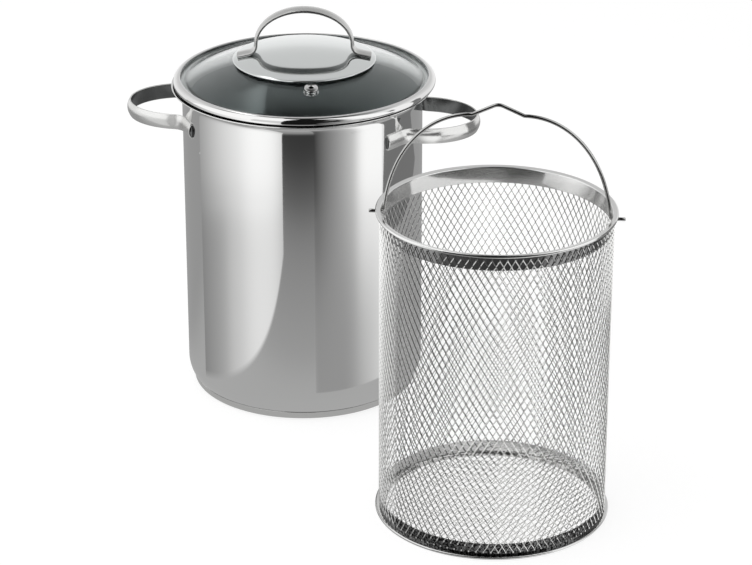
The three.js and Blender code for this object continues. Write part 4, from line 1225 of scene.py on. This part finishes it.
stood_card(
    "left_card", start=(-0.097, -0.03), end=(-0.097, -0.335), low=0.0, high=0.215,
    level=left_level, cover=("Z", LEFT_FOOT),
)
stood_card("left_wing", start=(-0.5, -0.34), end=(-0.098, -0.34), low=0.0, high=0.45, level=LEFT_WING)
flat_card("left_shelf", low=(-0.5, -0.34), high=(-0.098, -0.028), height=0.165, level=LEFT_WING)

# Grey-to-white card bent round the pot's right
RIGHT_TOP = ((8.0, 0.05), (32.0, 0.6), (46.0, 1.2), (56.6, 1.2))
RIGHT_LOW = ((8.0, 0.36), (25.0, 0.36), (45.0, 0.6), (56.6, 0.78))
RIGHT_RISE = ((0.0, 0.0), (0.05, 0.12), (0.12, 0.62), (0.18, 1.0), (0.22, 1.0))
RIGHT_FADE = ((8.0, 0.0), (11.3, 1.0), (56.6, 1.0))

# The right handle looks at a black patch on this card and at a white slip along its edge
SLIP_START = 57.0
SLIP_FOOT = 0.187
SLIP_LEVEL = 1.1
PATCH_TURN = (45.0, 12.0)
PATCH_HEIGHT = (0.1965, 0.0095)
PATCH_LEVEL = 0.08
RIGHT_EDGE = 0.22


def right_level(tree, spot):
    """The right card's own light, its patch and its slip."""
    plain = graded(tree, spot["Turn"], RIGHT_LOW, RIGHT_TOP, ramp(tree, spot["Z"], RIGHT_RISE))
    patch_turn = calc(tree, "COMPARE", spot["Turn"], *PATCH_TURN)
    patch_height = calc(tree, "COMPARE", spot["Z"], *PATCH_HEIGHT)
    patched = either(tree, calc(tree, "MULTIPLY", patch_turn, patch_height), plain, PATCH_LEVEL)
    return either(tree, calc(tree, "GREATER_THAN", spot["Turn"], SLIP_START), patched, SLIP_LEVEL)


def right_cover(tree, spot):
    """The card's outline: its soft left edge, its top, and the slip that stands higher."""
    below = calc(tree, "LESS_THAN", spot["Z"], RIGHT_EDGE)
    sheet = calc(tree, "MULTIPLY", ramp(tree, spot["Turn"], RIGHT_FADE), below)
    slip = calc(tree, "GREATER_THAN", spot["Z"], SLIP_FOOT)
    return either(tree, calc(tree, "GREATER_THAN", spot["Turn"], SLIP_START), sheet, slip)


curved_card(
    "right_card", radius=0.122, reach=(8.0, 73.0), low=0.0, high=0.26,
    level=right_level, cover=right_cover,
)

# Tall cards for the lid's rim: a hard edge on the left, a soft one on the right
TALL_LEFT = 1.2
TALL_RIGHT = ((28.0, 0.0), (50.0, 1.2), (70.0, 1.2))
tall = {"radius": 0.45, "low": 0.23, "high": 4.0}
curved_card("tall_left", reach=(-100.0, -18.0), level=TALL_LEFT, **tall)
curved_card("tall_right", reach=(28.0, 70.0), level=("Turn", TALL_RIGHT), **tall)

# Grey card far out to the right, before the handle's foot and the end of the rim
FAR_RIGHT = 0.22
curved_card("far_right", radius=0.6, reach=(74.0, 112.0), low=0.1, high=0.45, level=FAR_RIGHT)

# White ceiling over the left of the set
LEFT_CEILING = 1.1
flat_card("left_ceiling", low=(-0.2, -0.25), high=(-2.5, 0.3), height=1.6, level=LEFT_CEILING)

# Long soft box overhead, behind and to the left, which the glass mirrors as a pale band
STRIP_LEVEL = 2.3
STRIP_FADE = ((-0.80, 0.0), (-0.66, 0.22), (-0.53, 0.8), (-0.46, 1.0), (-0.36, 0.0))
STRIP_ENDS = ((0.5, 0.0), (0.75, 1.0), (1.05, 1.0), (1.5, 0.0))


def strip_cover(tree, spot):
    """The soft edges of the strip."""
    return calc(tree, "MULTIPLY", ramp(tree, spot["X"], STRIP_FADE), ramp(tree, spot["Y"], STRIP_ENDS))


flat_card("strip", low=(-0.36, 0.5), high=(-0.80, 1.5), height=1.72, level=STRIP_LEVEL, cover=strip_cover)

# Soft lamp for the matt surfaces and the shadow
lamp_data = bpy.data.lights.new("overhead", "AREA")
lamp_data.energy = LAMP_POWER
lamp_data.shape = "DISK"
lamp_data.size = LAMP_SIZE
lamp = put("overhead", lamp_data)
lamp.location = LAMP_PLACE
lamp.rotation_euler = (LAMP_AIM - LAMP_PLACE).to_track_quat("-Z", "Y").to_euler()
lamp.visible_glossy = False

# The room by its height over the set, counted from the camera's side: 90 is overhead, 180 the back wall
ROOM_STOPS = (
    (0.0, 0.008), (60.0, 0.008), (106.0, 0.03), (120.0, 0.42), (132.0, 0.62),
    (156.0, 0.66), (170.0, 0.88), (180.0, 0.95),
)
SIDE_STOPS = ((0.0, 0.0), (0.2, 0.0), (0.35, 0.25), (0.5, 0.4), (0.8, 1.0), (1.0, 1.0))
SIDE_LEVEL = 0.95
world = bpy.data.worlds.new("studio")
scene.world = world
world.use_nodes = True
room_tree = world.node_tree
room_way = add_node(room_tree, "ShaderNodeTexCoord").outputs["Generated"]
room_turn = {"Vector": room_way, "Angle": -STUDIO_TURN}
room_way = made(room_tree, "ShaderNodeVectorRotate", room_turn, rotation_type="Z_AXIS")
way = add_node(room_tree, "ShaderNodeSeparateXYZ", {0: room_way}).outputs
to_camera = calc(room_tree, "MULTIPLY", way["Y"], -1.0)
upward = calc(room_tree, "MAXIMUM", way["Z"], 0.0)
over = calc(room_tree, "DEGREES", calc(room_tree, "ARCTAN2", upward, to_camera))
aside = ramp(room_tree, calc(room_tree, "ABSOLUTE", way["X"]), SIDE_STOPS)
room_mirrored = either(room_tree, aside, ramp(room_tree, over, ROOM_STOPS), SIDE_LEVEL)
room_fill = either(room_tree, seen_rays(room_tree), ROOM_FILL, room_mirrored)
room_camera = add_node(room_tree, "ShaderNodeLightPath").outputs["Is Camera Ray"]
room_shown = either(room_tree, room_camera, room_fill, 1.0)
feed(room_tree, room_tree.nodes["Background"], {"Color": (1, 1, 1, 1), "Strength": room_shown})
scene.view_settings.view_transform = "Standard"


# Camera: a long lens a little right of the pot's front, looking down at it.
LENS = 138.98
SENSOR_WIDTH = 36.0
CLIP_END = 50.0
CAMERA_TURN = math.radians(9.5)
CAMERA_RISE = math.radians(23.59)
CAMERA_TARGET = Vector((0.06455, -0.08894, 0.110))
CAMERA_DISTANCE = 1.8805

camera_data = bpy.data.cameras.new("camera")
camera_data.sensor_width = SENSOR_WIDTH
camera_data.lens = LENS
camera_data.clip_end = CLIP_END
camera = put("camera", camera_data)
camera_way = Vector((
    math.sin(CAMERA_TURN) * math.cos(CAMERA_RISE),
    -math.cos(CAMERA_TURN) * math.cos(CAMERA_RISE),
    math.sin(CAMERA_RISE),
))
camera.location = CAMERA_TARGET + camera_way * CAMERA_DISTANCE
camera.rotation_euler = (-camera_way).to_track_quat("-Z", "Y").to_euler()
scene.camera = camera
